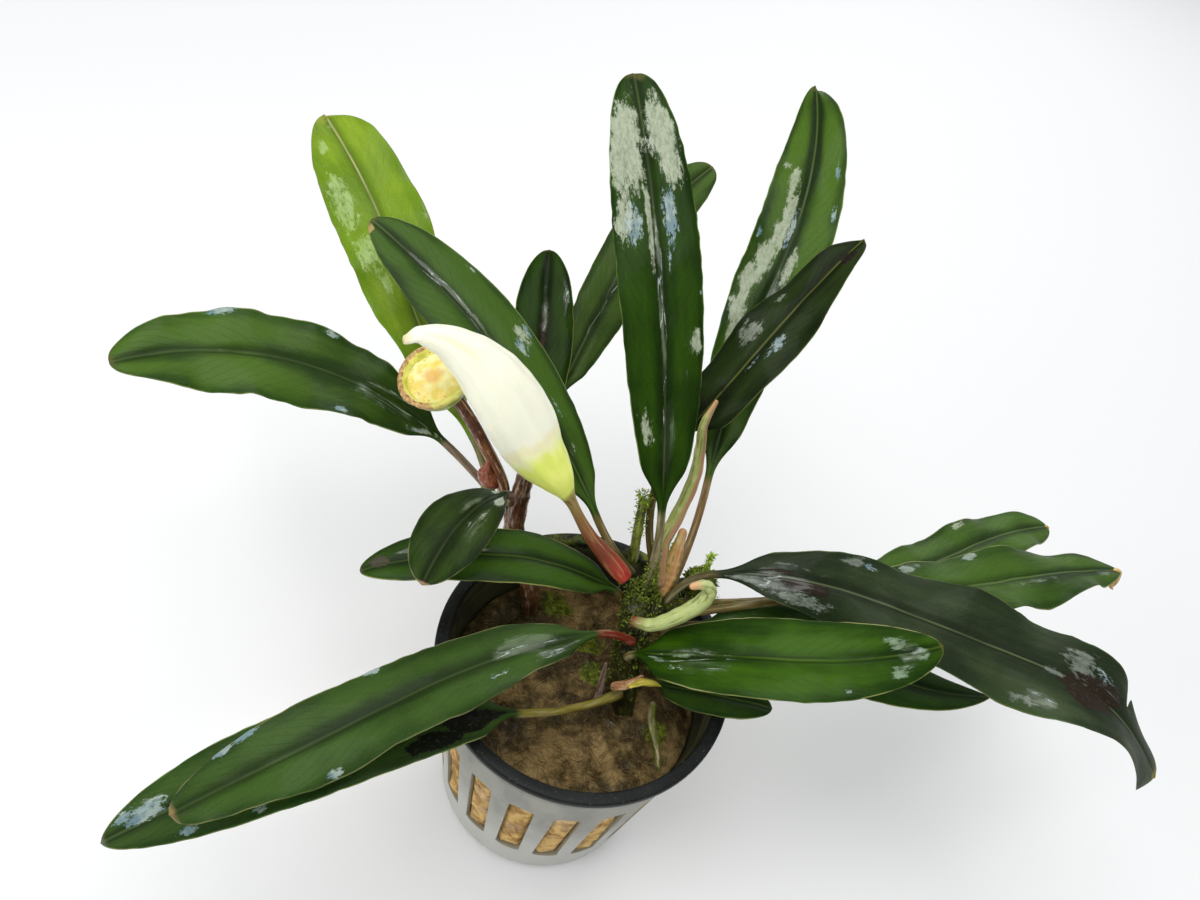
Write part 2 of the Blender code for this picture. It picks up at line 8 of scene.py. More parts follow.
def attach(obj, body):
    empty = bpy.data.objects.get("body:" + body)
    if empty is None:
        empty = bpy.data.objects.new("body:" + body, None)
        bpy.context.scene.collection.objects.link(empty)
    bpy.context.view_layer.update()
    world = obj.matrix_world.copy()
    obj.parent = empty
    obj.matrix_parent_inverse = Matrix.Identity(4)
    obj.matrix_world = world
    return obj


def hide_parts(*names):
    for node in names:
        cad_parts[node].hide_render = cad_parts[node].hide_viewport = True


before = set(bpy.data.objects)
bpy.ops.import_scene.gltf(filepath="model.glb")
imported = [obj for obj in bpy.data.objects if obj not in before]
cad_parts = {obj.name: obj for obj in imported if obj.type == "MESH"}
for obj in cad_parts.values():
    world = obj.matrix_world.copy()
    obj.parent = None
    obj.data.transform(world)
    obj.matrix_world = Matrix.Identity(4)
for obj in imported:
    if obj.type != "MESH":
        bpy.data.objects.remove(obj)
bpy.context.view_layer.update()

# The studio. A white floor, soft light from overhead, from behind and from the front left, and
# the camera held above and in front of the plant, tilted to its left. Lengths that the plant is
# described in are millimetres, and MM turns them into metres.
MM = 0.001

CAMERA_PLACE = Vector((0.0, -91.0, 201.0)) * MM
CAMERA_AIM = Vector((-13.7, 45.4, 50.0)) * MM
CAMERA_TILT = math.radians(18.6)
LENS = 30.0

scene = bpy.context.scene
scene.view_settings.view_transform = "Standard"

forward = (CAMERA_AIM - CAMERA_PLACE).normalized()
level = forward.cross(Vector((0, 0, 1))).normalized()
raised = level.cross(forward)
right = level * math.cos(CAMERA_TILT) + raised * math.sin(CAMERA_TILT)
above = raised * math.cos(CAMERA_TILT) - level * math.sin(CAMERA_TILT)
lens = bpy.data.cameras.new("camera")
lens.lens = LENS
lens.sensor_width = 36.0
lens.clip_start = 0.01
camera = bpy.data.objects.new("camera", lens)
camera.matrix_world = Matrix.Translation(CAMERA_PLACE) @ Matrix(
    (right, above, -forward)).transposed().to_4x4()
scene.collection.objects.link(camera)
scene.camera = camera


def soft_box(name, place, aim, size, power):
    """A square lamp at a place in millimetres, turned to face the aim."""
    lamp = bpy.data.lights.new(name, "AREA")
    lamp.size = size * MM
    lamp.energy = power
    made = bpy.data.objects.new(name, lamp)
    made.location = Vector(place) * MM
    made.rotation_euler = (Vector(aim) - Vector(place)).to_track_quat("-Z", "Y").to_euler()
    scene.collection.objects.link(made)


soft_box("overhead", (-60, -40, 620), (0, 20, 50), 420, 1.9)
soft_box("behind", (60, 560, 420), (0, 20, 60), 420, 1.0)
soft_box("front_left", (-480, -360, 330), (0, 0, 50), 360, 1.1)

world = bpy.data.worlds.new("white_room")
world.use_nodes = True
world.node_tree.nodes["Background"].inputs["Color"].default_value = (0.96, 0.98, 1.0, 1.0)
world.node_tree.nodes["Background"].inputs["Strength"].default_value = 0.50
scene.world = world


def add_node(tree, kind, inputs=None, **settings):
    """One shader node, its settings made, and each input a value or the socket that feeds it."""
    made = tree.nodes.new(kind)
    for name, value in settings.items():
        setattr(made, name, value)
    for name, value in (inputs or {}).items():
        if isinstance(value, bpy.types.NodeSocket):
            tree.links.new(value, made.inputs[name])
        else:
            made.inputs[name].default_value = value
    return made


def fed_node(kind, inputs, **settings):
    """One shader node in the tree of the first socket that feeds it."""
    socket = next(value for value in inputs.values() if isinstance(value, bpy.types.NodeSocket))
    return add_node(socket.id_data, kind, inputs, **settings)


def new_material(name):
    """An empty node material and its tree."""
    made = bpy.data.materials.new(name)
    made.use_nodes = True
    made.node_tree.nodes.clear()
    return made, made.node_tree


def surfaced(material, inputs):
    """The material, ended with its shader, each input a value or the socket that feeds it."""
    tree = material.node_tree
    shader = add_node(tree, "ShaderNodeBsdfPrincipled", inputs)
    output = tree.nodes.new("ShaderNodeOutputMaterial")
    tree.links.new(shader.outputs["BSDF"], output.inputs["Surface"])
    return material


def paint(red, green, blue):
    """A colour as a screen shows it, 0 to 255, turned into the light that it stands for."""
    share = np.array([red, green, blue]) / 255.0
    lit = np.where(share <= 0.04045, share / 12.92, ((share + 0.055) / 1.055) ** 2.4)
    return (*map(float, lit), 1.0)


floor_mesh = bpy.data.meshes.new("floor")
floor_mesh.from_pydata([(-3, -3, 0), (3, -3, 0), (3, 3, 0), (-3, 3, 0)], [], [(0, 1, 2, 3)])
floor_mesh.materials.append(surfaced(new_material("floor_white")[0], {
    "Base Color": (0.93, 0.93, 0.93, 1.0), "Roughness": 0.9}))
floor = bpy.data.objects.new("floor", floor_mesh)
scene.collection.objects.link(floor)


# The net pot. Thin charcoal polypropylene, moulded in one piece: a slotted tapered wall, a
# rolled lip and a floor with drain slots. Hard water has left a pale bloom on its outside.
RIM_RADIUS = 26.0
POT_HEIGHT = 50.0
LIP_HEIGHT = 1.6
WALL_TOP_RADIUS = 24.9
WALL_LOW_RADIUS = 20.2
BASE_RADIUS = 18.4
FOOT_HEIGHT = 4.0
WALL = 1.1
BEAD_HEIGHT, BEAD_REACH, BEAD_SIZE = 44.6, 0.45, 0.28
LIP_ROUNDNESS = 0.45
FLOOR_THICKNESS = 1.4
SLOT_COUNT = 18
SLOT_WIDTH = 4.6
SLOT_LOW, SLOT_HIGH = 11.0, 36.5
SLOT_ROUNDING = 0.9
DRAIN_COUNT = 8
DRAIN_WIDTH = 2.6
DRAIN_INNER, DRAIN_OUTER = 7.5, 15.5


def unit(rows):
    """Each row's way, with its length made one."""
    return rows / np.linalg.norm(rows, axis=-1, keepdims=True)


def smoothly(low, high, value):
    """0 below low, 1 above high, and a soft S between them."""
    share = np.clip((value - low) / (high - low), 0, 1)
    return share * share * (3 - 2 * share)


def whole_turn(count):
    """That many angles, evenly all the way around."""
    return np.linspace(0, 2 * math.pi, count + 1)[:-1]


def joined(*parts):
    """Points whose coordinates are these arrays, each spread over the others."""
    return np.stack(np.broadcast_arrays(*parts), axis=-1)


def spun(radius, angle, height):
    """Points at a radius from the upright axis, an angle around it and a height."""
    return joined(radius * np.cos(angle), radius * np.sin(angle), height)


def grid_quads(rows, columns, ringed=False):
    """The corners of the quads of a grid of points whose last column is joined to its first,
    and its last row to its first if it is ringed. A quad's front is on the side of
    (next column) x (next row)."""
    row = np.arange(rows if ringed else rows - 1)[:, None]
    column = np.arange(columns)[None, :]
    below = (row + 1) % rows * columns
    after = (column + 1) % columns
    row = row * columns
    return np.stack([row + column, row + after, below + after, below + column], axis=-1)


def make_piece(name, points, quads, triangles=(), marks=None, closed=True):
    """An object from points in millimetres and corner numbers, each mark one value a point.
    A closed skin whose volume comes out below nothing has all its faces turned."""
    points = np.asarray(points, float).reshape(-1, 3)
    quads = np.asarray(quads, np.int32).reshape(-1, 4)
    triangles = np.asarray(triangles, np.int32).reshape(-1, 3)
    if closed:
        split = np.concatenate([quads[:, :3], quads[:, [0, 2, 3]], triangles])
        first, second, third = points[split].transpose(1, 0, 2)
        if (first * np.cross(second, third)).sum() < 0:
            quads, triangles = quads[:, ::-1], triangles[:, ::-1]
    corners = np.concatenate([quads.ravel(), triangles.ravel()])
    sizes = np.repeat([4, 3], [len(quads), len(triangles)]).astype(np.int32)
    mesh = bpy.data.meshes.new(name)
    mesh.vertices.add(len(points))
    mesh.vertices.foreach_set("co", (points * MM).astype(np.float32).ravel())
    mesh.loops.add(len(corners))
    mesh.loops.foreach_set("vertex_index", corners)
    mesh.polygons.add(len(sizes))
    mesh.polygons.foreach_set("loop_start", (np.cumsum(sizes) - sizes).astype(np.int32))
    mesh.update(calc_edges=True)
    for mark, values in (marks or {}).items():
        layer = mesh.attributes.new(mark, "FLOAT", "POINT")
        layer.data.foreach_set("value", np.asarray(values, np.float32).ravel())
    mesh.shade_smooth()
    made = bpy.data.objects.new(name, mesh)
    scene.collection.objects.link(made)
    return made


def settle(piece, finish, node):
    """The piece takes its material, rides on the plant and stands for the named solid."""
    piece.data.materials.append(finish)
    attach(piece, "root")
    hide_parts(node)


def wall_radius(height):
    """The wall's outer radius: straight from foot to lip, a rounded corner below the foot,
    and one low moulded bead near the top."""
    share = (height - FOOT_HEIGHT) / (POT_HEIGHT - LIP_HEIGHT - FOOT_HEIGHT)
    straight = WALL_LOW_RADIUS + (WALL_TOP_RADIUS - WALL_LOW_RADIUS) * share
    corner = (BASE_RADIUS + (WALL_LOW_RADIUS - BASE_RADIUS)
              * np.sin(np.clip(height / FOOT_HEIGHT, 0, 1) * math.pi / 2))
    bead = BEAD_SIZE * np.exp(-((height - BEAD_HEIGHT) / BEAD_REACH) ** 2)
    return np.where(height < FOOT_HEIGHT, corner, straight + bead)


def from_slot(shares):
    """How far a column is from the middle of its slot: 0 there, 0.5 at the slot's edge and 1
    midway between two slots. A share past 1 lies on the near side of the next slot."""
    return np.abs(np.where(shares > 1, 2 - shares, shares))


def sector_angles(shares, count, edge):
    """Angles around the pot for the columns of count sectors, one after another. A column's
    share runs from -1 to 1 across its sector, and at 0.5 it reaches the slot's edge, which is
    that angle from the slot's middle."""
    share = np.tile(shares, count)[None, :]
    sector = np.repeat(np.arange(count), len(shares))[None, :]
    inside = from_slot(share)
    half = math.pi / count
    turn = np.where(inside <= 0.5, edge * inside * 2, edge + (half - edge) * (inside - 0.5) / 0.5)
    turn = np.where(share > 1, 2 * half - turn, np.sign(share) * turn)
    return turn + 2 * math.pi * (sector + 0.5) / count


def slotted_quads(points, open_row, open_column):
    """The quads of a grid of points, without those where a slot is."""
    return grid_quads(*points.shape[:2])[~(open_row[:, None] & open_column[None, :])]


def slotted_wall():
    """Points over (height, around), and their quads. The rows at a slot's two ends are bent
    towards its middle, most beside its edges, so that the ends are rounded."""
    slot_columns = np.array([-0.5, -0.46, -0.38, -0.2, 0.0, 0.2, 0.38, 0.46, 0.5])
    shares = np.concatenate([slot_columns, [0.54, 0.62, 0.81, 1.19, 1.38, 1.46]])
    knots = np.array([0.0, FOOT_HEIGHT, SLOT_LOW, SLOT_HIGH, POT_HEIGHT - 0.3])
    steps = np.concatenate([np.linspace(0, 1, 7)[:-1], 1 + np.linspace(0, 1, 5)[:-1],
                            2 + smoothly(0, 1, np.linspace(0, 1, 17))[:-1],
                            3 + np.linspace(0, 1, 25)])
    inside = from_slot(np.tile(shares, SLOT_COUNT)[None, :])
    rounding = SLOT_ROUNDING * np.where(inside <= 0.5, (2 * inside) ** 5,
                                        np.exp(-14 * (inside - 0.5)))
    height = np.interp(steps, np.arange(5), knots)[:, None] + np.zeros_like(inside)
    height += rounding * np.interp(steps, [1, 2, 2.5], [0, 1, 0])[:, None]
    height -= rounding * np.interp(steps, [2.5, 3, 3.6], [0, 1, 0])[:, None]
    radius = wall_radius(height)
    edge = np.arcsin(SLOT_WIDTH / 2 / np.maximum(radius, 1))
    points = spun(radius, sector_angles(shares, SLOT_COUNT, edge), height)
    open_row = (steps[:-1] >= 2) & (steps[:-1] < 3)
    open_column = np.tile(np.arange(len(shares)) < len(slot_columns) - 1, SLOT_COUNT)
    return points, slotted_quads(points, open_row, open_column)


def drained_floor():
    """Points over (distance out, around), and their quads and fan: each sector's middle half
    is a drain slot of even width between its two radii, and the middle of the floor is closed
    with a fan. The faces look down, so that their thickness goes up from the ground."""
    shares = np.array([-0.5, -0.25, 0.0, 0.25, 0.5, 0.75, 1.0, 1.25])
    outs = np.array([1.5, 4.5, DRAIN_INNER, 10, 13, DRAIN_OUTER, BASE_RADIUS - 0.3])
    edge = np.arcsin(np.minimum(DRAIN_WIDTH / 2 / outs, 0.3))[:, None]
    points = spun(outs[:, None], sector_angles(shares, DRAIN_COUNT, edge), 0.0)
    open_row = (outs[:-1] >= DRAIN_INNER) & (outs[:-1] < DRAIN_OUTER)
    open_column = np.tile(np.arange(len(shares)) < 4, DRAIN_COUNT)
    rows, count = points.shape[:2]
    around = np.arange(count)
    fan = np.stack([np.full(count, rows * count), (around + 1) % count, around], axis=-1)
    points_and_middle = np.vstack([points.reshape(-1, 3), [[0, 0, 0]]])
    return points_and_middle, slotted_quads(points, open_row, open_column), fan


def rolled_lip():
    """A ring whose section is a rounded oblong, from the wall's inner face to the rim."""
    section = whole_turn(20)[None, :]
    across, upright = (np.sign(wave) * np.abs(wave) ** LIP_ROUNDNESS
                       for wave in (np.cos(section), np.sin(section)))
    inner = WALL_TOP_RADIUS - WALL
    radius = (RIM_RADIUS + inner) / 2 + (RIM_RADIUS - inner) / 2 * across
    height = POT_HEIGHT - LIP_HEIGHT / 2 + LIP_HEIGHT / 2 * upright
    return spun(radius, whole_turn(216)[:, None], height)


def thicken(piece, thickness, bevel):
    """A wall's thickness, inwards, and the small rounding of its moulded edges."""
    solid = piece.modifiers.new("wall", "SOLIDIFY")
    solid.thickness = thickness * MM
    solid.offset = -1.0
    rounding = piece.modifiers.new("edges", "BEVEL")
    rounding.width = bevel * MM
    rounding.segments = 2
    rounding.limit_method = "ANGLE"
    rounding.angle_limit = math.radians(50)


def mix_colours(factor, first, second):
    """The socket of a colour between two others."""
    return fed_node("ShaderNodeMix", {0: factor, 6: first, 7: second},
                    data_type="RGBA").outputs[2]


def sums(operation, first, second=0.0, third=0.0):
    """The socket of one sum on numbers."""
    return fed_node("ShaderNodeMath", {0: first, 1: second, 2: third},
                    operation=operation).outputs[0]


def weighed(plus, *parts):
    """The socket of plus, with each of the (socket, weight) pairs multiplied and added."""
    for socket, weight in parts:
        plus = sums("MULTIPLY_ADD", socket, weight, plus)
    return plus


def both(first, second):
    """The socket of two masks multiplied."""
    return sums("MULTIPLY", first, second)


def ease(value, low, high, to_low=0.0, to_high=1.0):
    """The socket of a soft step from to_low to to_high as the value goes from low to high."""
    return fed_node("ShaderNodeMapRange", {
        "Value": value, "From Min": low, "From Max": high, "To Min": to_low, "To Max": to_high},
        interpolation_type="SMOOTHSTEP").outputs["Result"]


def laid(under, over, value, low, high, most=1.0):
    """The socket of a colour with another laid over it, more and more, up to the most, as the
    value goes from low to high."""
    return mix_colours(ease(value, low, high, 0.0, most), under, over)


def cloud(place, scale, detail=3.0, rough=0.55, stretch=None):
    """The socket of soft noise, 0 to 1, in lumps a metre, or a millimetre if the place is in
    millimetres. A stretch below 1 draws the lumps out along that axis."""
    if stretch:
        place = fed_node("ShaderNodeMapping", {"Vector": place, "Scale": stretch}).outputs[0]
    return fed_node("ShaderNodeTexNoise", {
        "Vector": place, "Scale": scale, "Detail": detail, "Roughness": rough}).outputs["Fac"]


def bumped(height, depth):
    """The socket of a normal from a height of 0 to 1 that stands depth millimetres."""
    return fed_node("ShaderNodeBump", {
        "Height": height, "Distance": depth * MM, "Strength": 1.0}).outputs["Normal"]


def object_place(tree):
    """The socket of where a point of the piece is, in metres."""
    return add_node(tree, "ShaderNodeTexCoord").outputs["Object"]


def along_way(place, way):
    """The socket of how many metres a place lies along a way, from the origin."""
    return fed_node("ShaderNodeVectorMath", {0: place, 1: unit(np.array(way, float))},
                    operation="DOT_PRODUCT").outputs["Value"]


def pot_plastic():
    """Charcoal plastic, scuffed on the lip. The outside is bleached to a light grey with soft
    streaks, with a band of painted shade right under the lip, and a pale lime haze grows towards
    the foot. Inside, blotches are lightened towards olive, which is painted light on faces in
    shade, and algae grow at the back."""
    made, tree = new_material("pot_plastic")
    coordinates = add_node(tree, "ShaderNodeTexCoord")
    place = coordinates.outputs["Object"]
    high = along_way(place, (0, 0, 1))
    flat = fed_node("ShaderNodeVectorMath", {0: place, 1: (1, 1, 0)}, operation="MULTIPLY")
    outward = fed_node("ShaderNodeVectorMath", {0: flat.outputs[0]}, operation="NORMALIZE")
    facing = fed_node("ShaderNodeVectorMath", {
        0: outward.outputs[0], 1: coordinates.outputs["Normal"]},
        operation="DOT_PRODUCT").outputs["Value"]
    below_lip = ease(high, 0.0487, 0.0480)
    outside = both(ease(facing, 0.2, 0.7), below_lip)
    moulded = both(ease(facing, -0.6, -0.2), below_lip)
    within = both(ease(facing, -0.5, -0.8), below_lip)
    blotches = cloud(place, 110, 4, 0.6)
    streaks = cloud(place, 200, 3, 0.6, (1, 1, 0.35))
    specks = cloud(place, 1900, 2, 0.7)
    dark = laid(paint(20, 22, 21), paint(35, 38, 38), blotches, 0.35, 0.65)
    dark = laid(dark, paint(116, 112, 98), specks, 0.60, 0.75, 0.3)
    algae = both(ease(weighed(-0.27, (blotches, 0.8)), 0.08, 0.22),
                 ease(along_way(place, (0, 1, 0)), 0.017, 0.022))
    dark = mix_colours(both(algae, ease(specks, 0.3, 0.5)), dark, paint(128, 140, 44))
    # Painted light: blotches on the inward faces are lightened towards olive, standing in for
    # light in the shaded inside.
    dark = mix_colours(both(within, ease(blotches, 0.35, 0.6, 0.2, 0.8)), dark, paint(84, 84, 58))
    dark = mix_colours(moulded, dark, paint(150, 146, 128))
    grey = laid(paint(152, 152, 144), paint(168, 167, 158), streaks, 0.35, 0.65)
    # Painted shade: a darker band right under the lip, where the lip's shadow falls.
    band = both(ease(high, 0.0446, 0.0462), ease(streaks, 0.3, 0.7, 0.6, 0.9))
    grey = mix_colours(band, grey, paint(122, 123, 118))
    haze = weighed(-0.40, (ease(high, 0.040, 0.006), 0.85), (blotches, 0.7))
    grey = laid(grey, paint(204, 204, 198), haze, 0.0, 0.7, 0.7)
    grey = laid(grey, paint(84, 78, 60), specks, 0.62, 0.74, 0.25)
    return surfaced(made, {
        "Base Color": mix_colours(outside, dark, grey),
        "Roughness": weighed(0.34, (blotches, 0.22), (outside, 0.34)), "Specular IOR Level": 0.16,
        "Normal": bumped(weighed(0.0, (blotches, 1.0), (specks, 0.4)), 0.02)})


plastic = pot_plastic()
wall_points, wall_quads = slotted_wall()
pot_wall = make_piece("pot_wall", wall_points, wall_quads, closed=False)
thicken(pot_wall, WALL, 0.18)
floor_points, floor_quads, floor_fan = drained_floor()
pot_floor = make_piece("pot_floor", floor_points, floor_quads, floor_fan, closed=False)
thicken(pot_floor, FLOOR_THICKNESS, 0.15)
lip_points = rolled_lip()
pot_lip = make_piece("pot_lip", lip_points, grid_quads(*lip_points.shape[:2], ringed=True))
for piece in (pot_wall, pot_floor, pot_lip):
    settle(piece, plastic, "net_pot")


# The rock wool plug. Wet mineral fibre, pressed into the pot before planting: its top is uneven
# and stands below the rim, and it swells a little into the slots. Loose strands lie on it, and
# green slime has started to grow in the wettest places.
PLUG_TOP = 40.6
PLUG_RADIUS = 22.0
PLUG_REACH = 22.5
WOOL_BACKSET = WALL + 0.15
LYING_STRANDS, STANDING_STRANDS = 1500, 540


def lumps(places, size, seed):
    """Smooth noise from -1 to 1: random values on a lattice whose cells are that many
    millimetres wide, blended between the eight corners around each place."""
    table = np.random.default_rng(seed).uniform(-1, 1, (32, 32, 32))
    scaled = np.asarray(places, float) / size
    low = np.floor(scaled).astype(int)
    share = scaled - low
    share = share * share * (3 - 2 * share)
    total = 0
    for corner in np.ndindex(2, 2, 2):
        found = (low + np.array(corner)) % 32
        weight = np.prod(np.where(corner, share, 1 - share), axis=-1)
        total = total + weight * table[found[..., 0], found[..., 1], found[..., 2]]
    return total


def wool_top(x, y):
    """The height of the plug's top: a plain that drops at its edge, two crossed waves, and
    lumps of three sizes that fade out towards the edge."""
    out = np.hypot(x, y)
    reach = np.minimum(out / WALL_TOP_RADIUS, 1)
    plain = np.interp(out, [0, 13.9, 19.9, PLUG_REACH],
                      [PLUG_TOP, PLUG_TOP, PLUG_TOP - 0.35, PLUG_TOP - 1.6])
    waves = np.sin(0.42 * x + 1.3) * np.cos(0.36 * y - 0.4) - 0.6 * reach
    place = joined(x, y, 0.0)
    fade = np.clip((PLUG_REACH - out) / 3, 0, 1)
    rough = 0.6 * lumps(place, 3.3, 1) + 0.4 * lumps(place, 1.4, 2) + 0.2 * lumps(place, 0.7, 3)
    return plain + 1.1 * waves * (1 - reach ** 6) + fade * rough


def closed_rows(rings):
    """A grid of rings, each closed on itself, with a point in the middle of each end: the
    points, the quads and the two fans."""
    rows, columns = rings.shape[:2]
    points = np.vstack([rings.reshape(-1, 3), [rings[0].mean(0), rings[-1].mean(0)]])
    around = np.arange(columns)
    after = (around + 1) % columns
    first = np.stack([after, around, np.full(columns, rows * columns)], axis=-1)
    last = (rows - 1) * columns
    second = np.stack([last + around, last + after, np.full(columns, rows * columns + 1)],
                      axis=-1)
    return points, grid_quads(rows, columns), np.vstack([first, second])


def wool_plug():
    """Rings from the middle of the top outwards, down the side and back to the middle of the
    underside. The side lies just within the wall, and is pushed out where a slot lets it."""
    angle = whole_turn(16 * SLOT_COUNT)[None, :]
    out = np.linspace(0.2, 22.3, 52)[:, None]
    top = spun(out, angle, wool_top(out * np.cos(angle), out * np.sin(angle)))
    edge = top[-1:, :, 2] - 0.6
    height = edge + (FOOT_HEIGHT - edge) * np.linspace(0, 1, 60)[:, None]
    aside = np.abs((angle / (2 * math.pi) * SLOT_COUNT) % 1 - 0.5) * 2 * math.pi / SLOT_COUNT
    in_slot = (smoothly(2.2, 1.7, aside * PLUG_RADIUS)
               * smoothly(SLOT_LOW + 0.2, SLOT_LOW + 1.2, height)
               * smoothly(SLOT_HIGH - 0.2, SLOT_HIGH - 1.2, height))
    plain = spun(PLUG_RADIUS, angle, height)
    swell = 0.80 + 0.35 * lumps(plain, 2.6, 4) + 0.25 * lumps(plain, 1.1, 5)
    out = wall_radius(height) - WOOL_BACKSET + np.clip(swell, 0, 1.15) * in_slot
    side = spun(out, angle, height)
    under = spun(np.array([17.4, 16.6, 12.0, 6.0, 0.3])[:, None], angle,
                 np.array([2.6, 1.8, 1.8, 1.8, 1.8])[:, None])
    return np.concatenate([top, side, under])


def near(points, spots):
    """How much each point belongs to any of the round spots (x, y, z, radius), 0 to 1."""
    found = np.zeros(points.shape[:-1])
    for x, y, z, radius in spots:
        apart = np.linalg.norm(points - [x, y, z], axis=-1) / radius
        found = np.maximum(found, smoothly(1.25, 0.35, apart))
    return found


def strands(paths, radius):
    """Many thin closed tubes at once. Paths is (strand, point, xyz); every point gets a ring
    of three points square to the way that its strand runs there, thinner at both ends."""
    count, steps = paths.shape[:2]
    ways = unit(np.gradient(paths, axis=1))
    whole = unit(paths[:, -1] - paths[:, 0])[:, None, :]
    aside = np.where(np.abs(whole[..., 2:]) > 0.8, [1.0, 0.0, 0.0], [0.0, 0.0, 1.0])
    side = unit(np.cross(ways, aside))
    over = np.cross(side, ways)
    turn = 2 * math.pi * np.arange(3) / 3
    thick = radius[:, None] * np.array([0.5] + [1.0] * (steps - 2) + [0.4])
    rings = paths[:, :, None] + thick[..., None, None] * (
        side[:, :, None] * np.cos(turn)[:, None] + over[:, :, None] * np.sin(turn)[:, None])
    start = 3 * steps * np.arange(count)[:, None, None]
    quads = grid_quads(steps, 3).reshape(-1, 4) + start
    last = 3 * (steps - 1)
    ends = np.array([(0, 2, 1), (last + 1, last + 2, last)]) + start
    return rings.reshape(-1, 3), quads, ends


def loose_strands():
    """Bent strands lying on the plug's top in every direction, and standing ones in the slots."""
    dice = np.random.default_rng(11)
    count = LYING_STRANDS
    out, turn = 21.3 * np.sqrt(dice.random(count)), dice.uniform(0, 2 * math.pi, count)
    heading = dice.uniform(0, 2 * math.pi, count)
    bend = dice.normal(0, 0.5, count)
    length = dice.uniform(2.0, 6.0, count)
    share = np.linspace(-0.5, 0.5, 7)[None, :]
    way = heading[:, None] + bend[:, None] * share * 2
    x = (out * np.cos(turn))[:, None] + length[:, None] * share * np.cos(way)
    y = (out * np.sin(turn))[:, None] + length[:, None] * share * np.sin(way)
    held = np.minimum(1, PLUG_RADIUS / np.maximum(np.hypot(x, y), 0.1))
    x, y = x * held, y * held
    lift = dice.uniform(0.02, 0.30, count)[:, None] + 0.35 * dice.random(count)[:, None] * (
        2 * share) ** 2
    lying = joined(x, y, wool_top(x, y) + lift)
    count = STANDING_STRANDS
    slot = dice.integers(0, SLOT_COUNT, count) + 0.5 + dice.uniform(-0.19, 0.19, count)
    turn = slot[:, None] * 2 * math.pi / SLOT_COUNT + dice.normal(0, 0.05, count)[:, None] * share
    rise = dice.uniform(SLOT_LOW + 2, SLOT_HIGH - 2, count)[:, None] + share * dice.uniform(
        1, 5, count)[:, None]
    rise = np.clip(rise, SLOT_LOW + 0.5, SLOT_HIGH - 0.5)
    out = wall_radius(rise) - 0.75 + dice.uniform(-0.3, 0.25, count)[:, None]
    paths = np.concatenate([lying, spun(out, turn, rise)])
    return strands(paths, dice.uniform(0.045, 0.10, len(paths)))


def mark(tree, name):
    """The socket of a value that the mesh keeps at each of its points."""
    return add_node(tree, "ShaderNodeAttribute", attribute_name=name).outputs["Fac"]


COLOUR, NUMBER = "NodeSocketColor", "NodeSocketFloat"
RESULTS = {"Colour": COLOUR, "Roughness": NUMBER, "Coat": NUMBER, "Height": NUMBER}


def shared_look(name, **values):
    """A new node group that several materials share: it takes one colour or number for each
    value, given here as its default, and puts out Colour, Roughness, Coat and Height. Returns
    the group, its inputs by name, and the node that its four results go to."""
    group = bpy.data.node_groups.new(name, "ShaderNodeTree")
    for socket, value in values.items():
        kind = COLOUR if isinstance(value, tuple) else NUMBER
        made = group.interface.new_socket(socket, in_out="INPUT", socket_type=kind)
        made.default_value = value
    for socket, kind in RESULTS.items():
        group.interface.new_socket(socket, in_out="OUTPUT", socket_type=kind)
    given = group.nodes.new("NodeGroupInput").outputs
    return group, given, group.nodes.new("NodeGroupOutput")


def put_out(result, *sockets):
    """Links a shared look's four results, and returns the look."""
    for name, socket in zip(RESULTS, sockets):
        result.id_data.links.new(socket, result.inputs[name])
    return result.id_data


def finish_from(look, name, values, depth, **fixed):
    """A material that takes its colour, roughness, coat and relief, depth millimetres high,
    from a shared look with this piece's values. The fixed ones stay on the shader's sockets."""
    made, tree = new_material(name)
    look = add_node(tree, "ShaderNodeGroup", values, node_tree=look).outputs
    return surfaced(made, {
        "Base Color": look["Colour"], "Roughness": look["Roughness"], "Coat Weight": look["Coat"],
        "Normal": bumped(look["Height"], depth),
        **{socket.replace("_", " "): value for socket, value in fixed.items()}})


def wet_wool():
    """Brown matted fibre: dark soaked hollows, tan strands, dry golden fibre in the slots, and
    slime green on marked spots. It is a little darker and less tan towards the back, which is
    painted shade."""
    look, given, result = shared_look(
        "wet_wool", Soaked=paint(56, 50, 26), Main=paint(104, 86, 48), Light=paint(158, 134, 88),
        Golden=paint(222, 184, 114))
    place = object_place(look)
    broad = cloud(place, 105, 3, 0.55)
    middle = cloud(place, 330, 4, 0.6)
    fine = cloud(place, 1100, 4, 0.65)
    threads = cloud(place, 2600, 2, 0.6, (1, 0.35, 1))
    height = along_way(place, (0, 0, 1))
    # Painted shade: towards the back the plug is a little darker and less tan.
    back = ease(along_way(place, (0.25, 1, 0)), -0.012, 0.012)
    colour = weighed(-0.02, (broad, 0.6), (middle, 0.4), (back, -0.03))
    colour = laid(given["Soaked"], given["Main"], colour, 0.34, 0.56)
    tan = weighed(-0.7, (broad, 0.9), (middle, 0.7), (back, -0.08))
    colour = laid(colour, given["Light"], tan, 0.0, 0.22, 0.8)
    colour = laid(colour, given["Light"], fine, 0.5, 0.75, 0.45)
    colour = laid(colour, given["Soaked"], fine, 0.44, 0.28, 0.6)
    golden = laid(paint(168, 128, 70), given["Golden"], middle, 0.4, 0.6)
    golden = laid(golden, given["Main"], fine, 0.42, 0.26, 0.5)
    colour = laid(colour, golden, height, 0.038, 0.036)
    slime = weighed(-1.34, (mark(look, "slime"), 0.95), (middle, 1.4), (fine, 0.5))
    green = laid(paint(66, 76, 16), paint(140, 150, 48), fine, 0.35, 0.65)
    colour = laid(colour, green, slime, 0.0, 0.4)
    return put_out(result, colour, ease(broad, 0.3, 0.7, 0.5, 0.85),
                   ease(broad, 0.5, 0.3, 0, 0.35), weighed(0.0, (fine, 1.0), (threads, 0.6)))


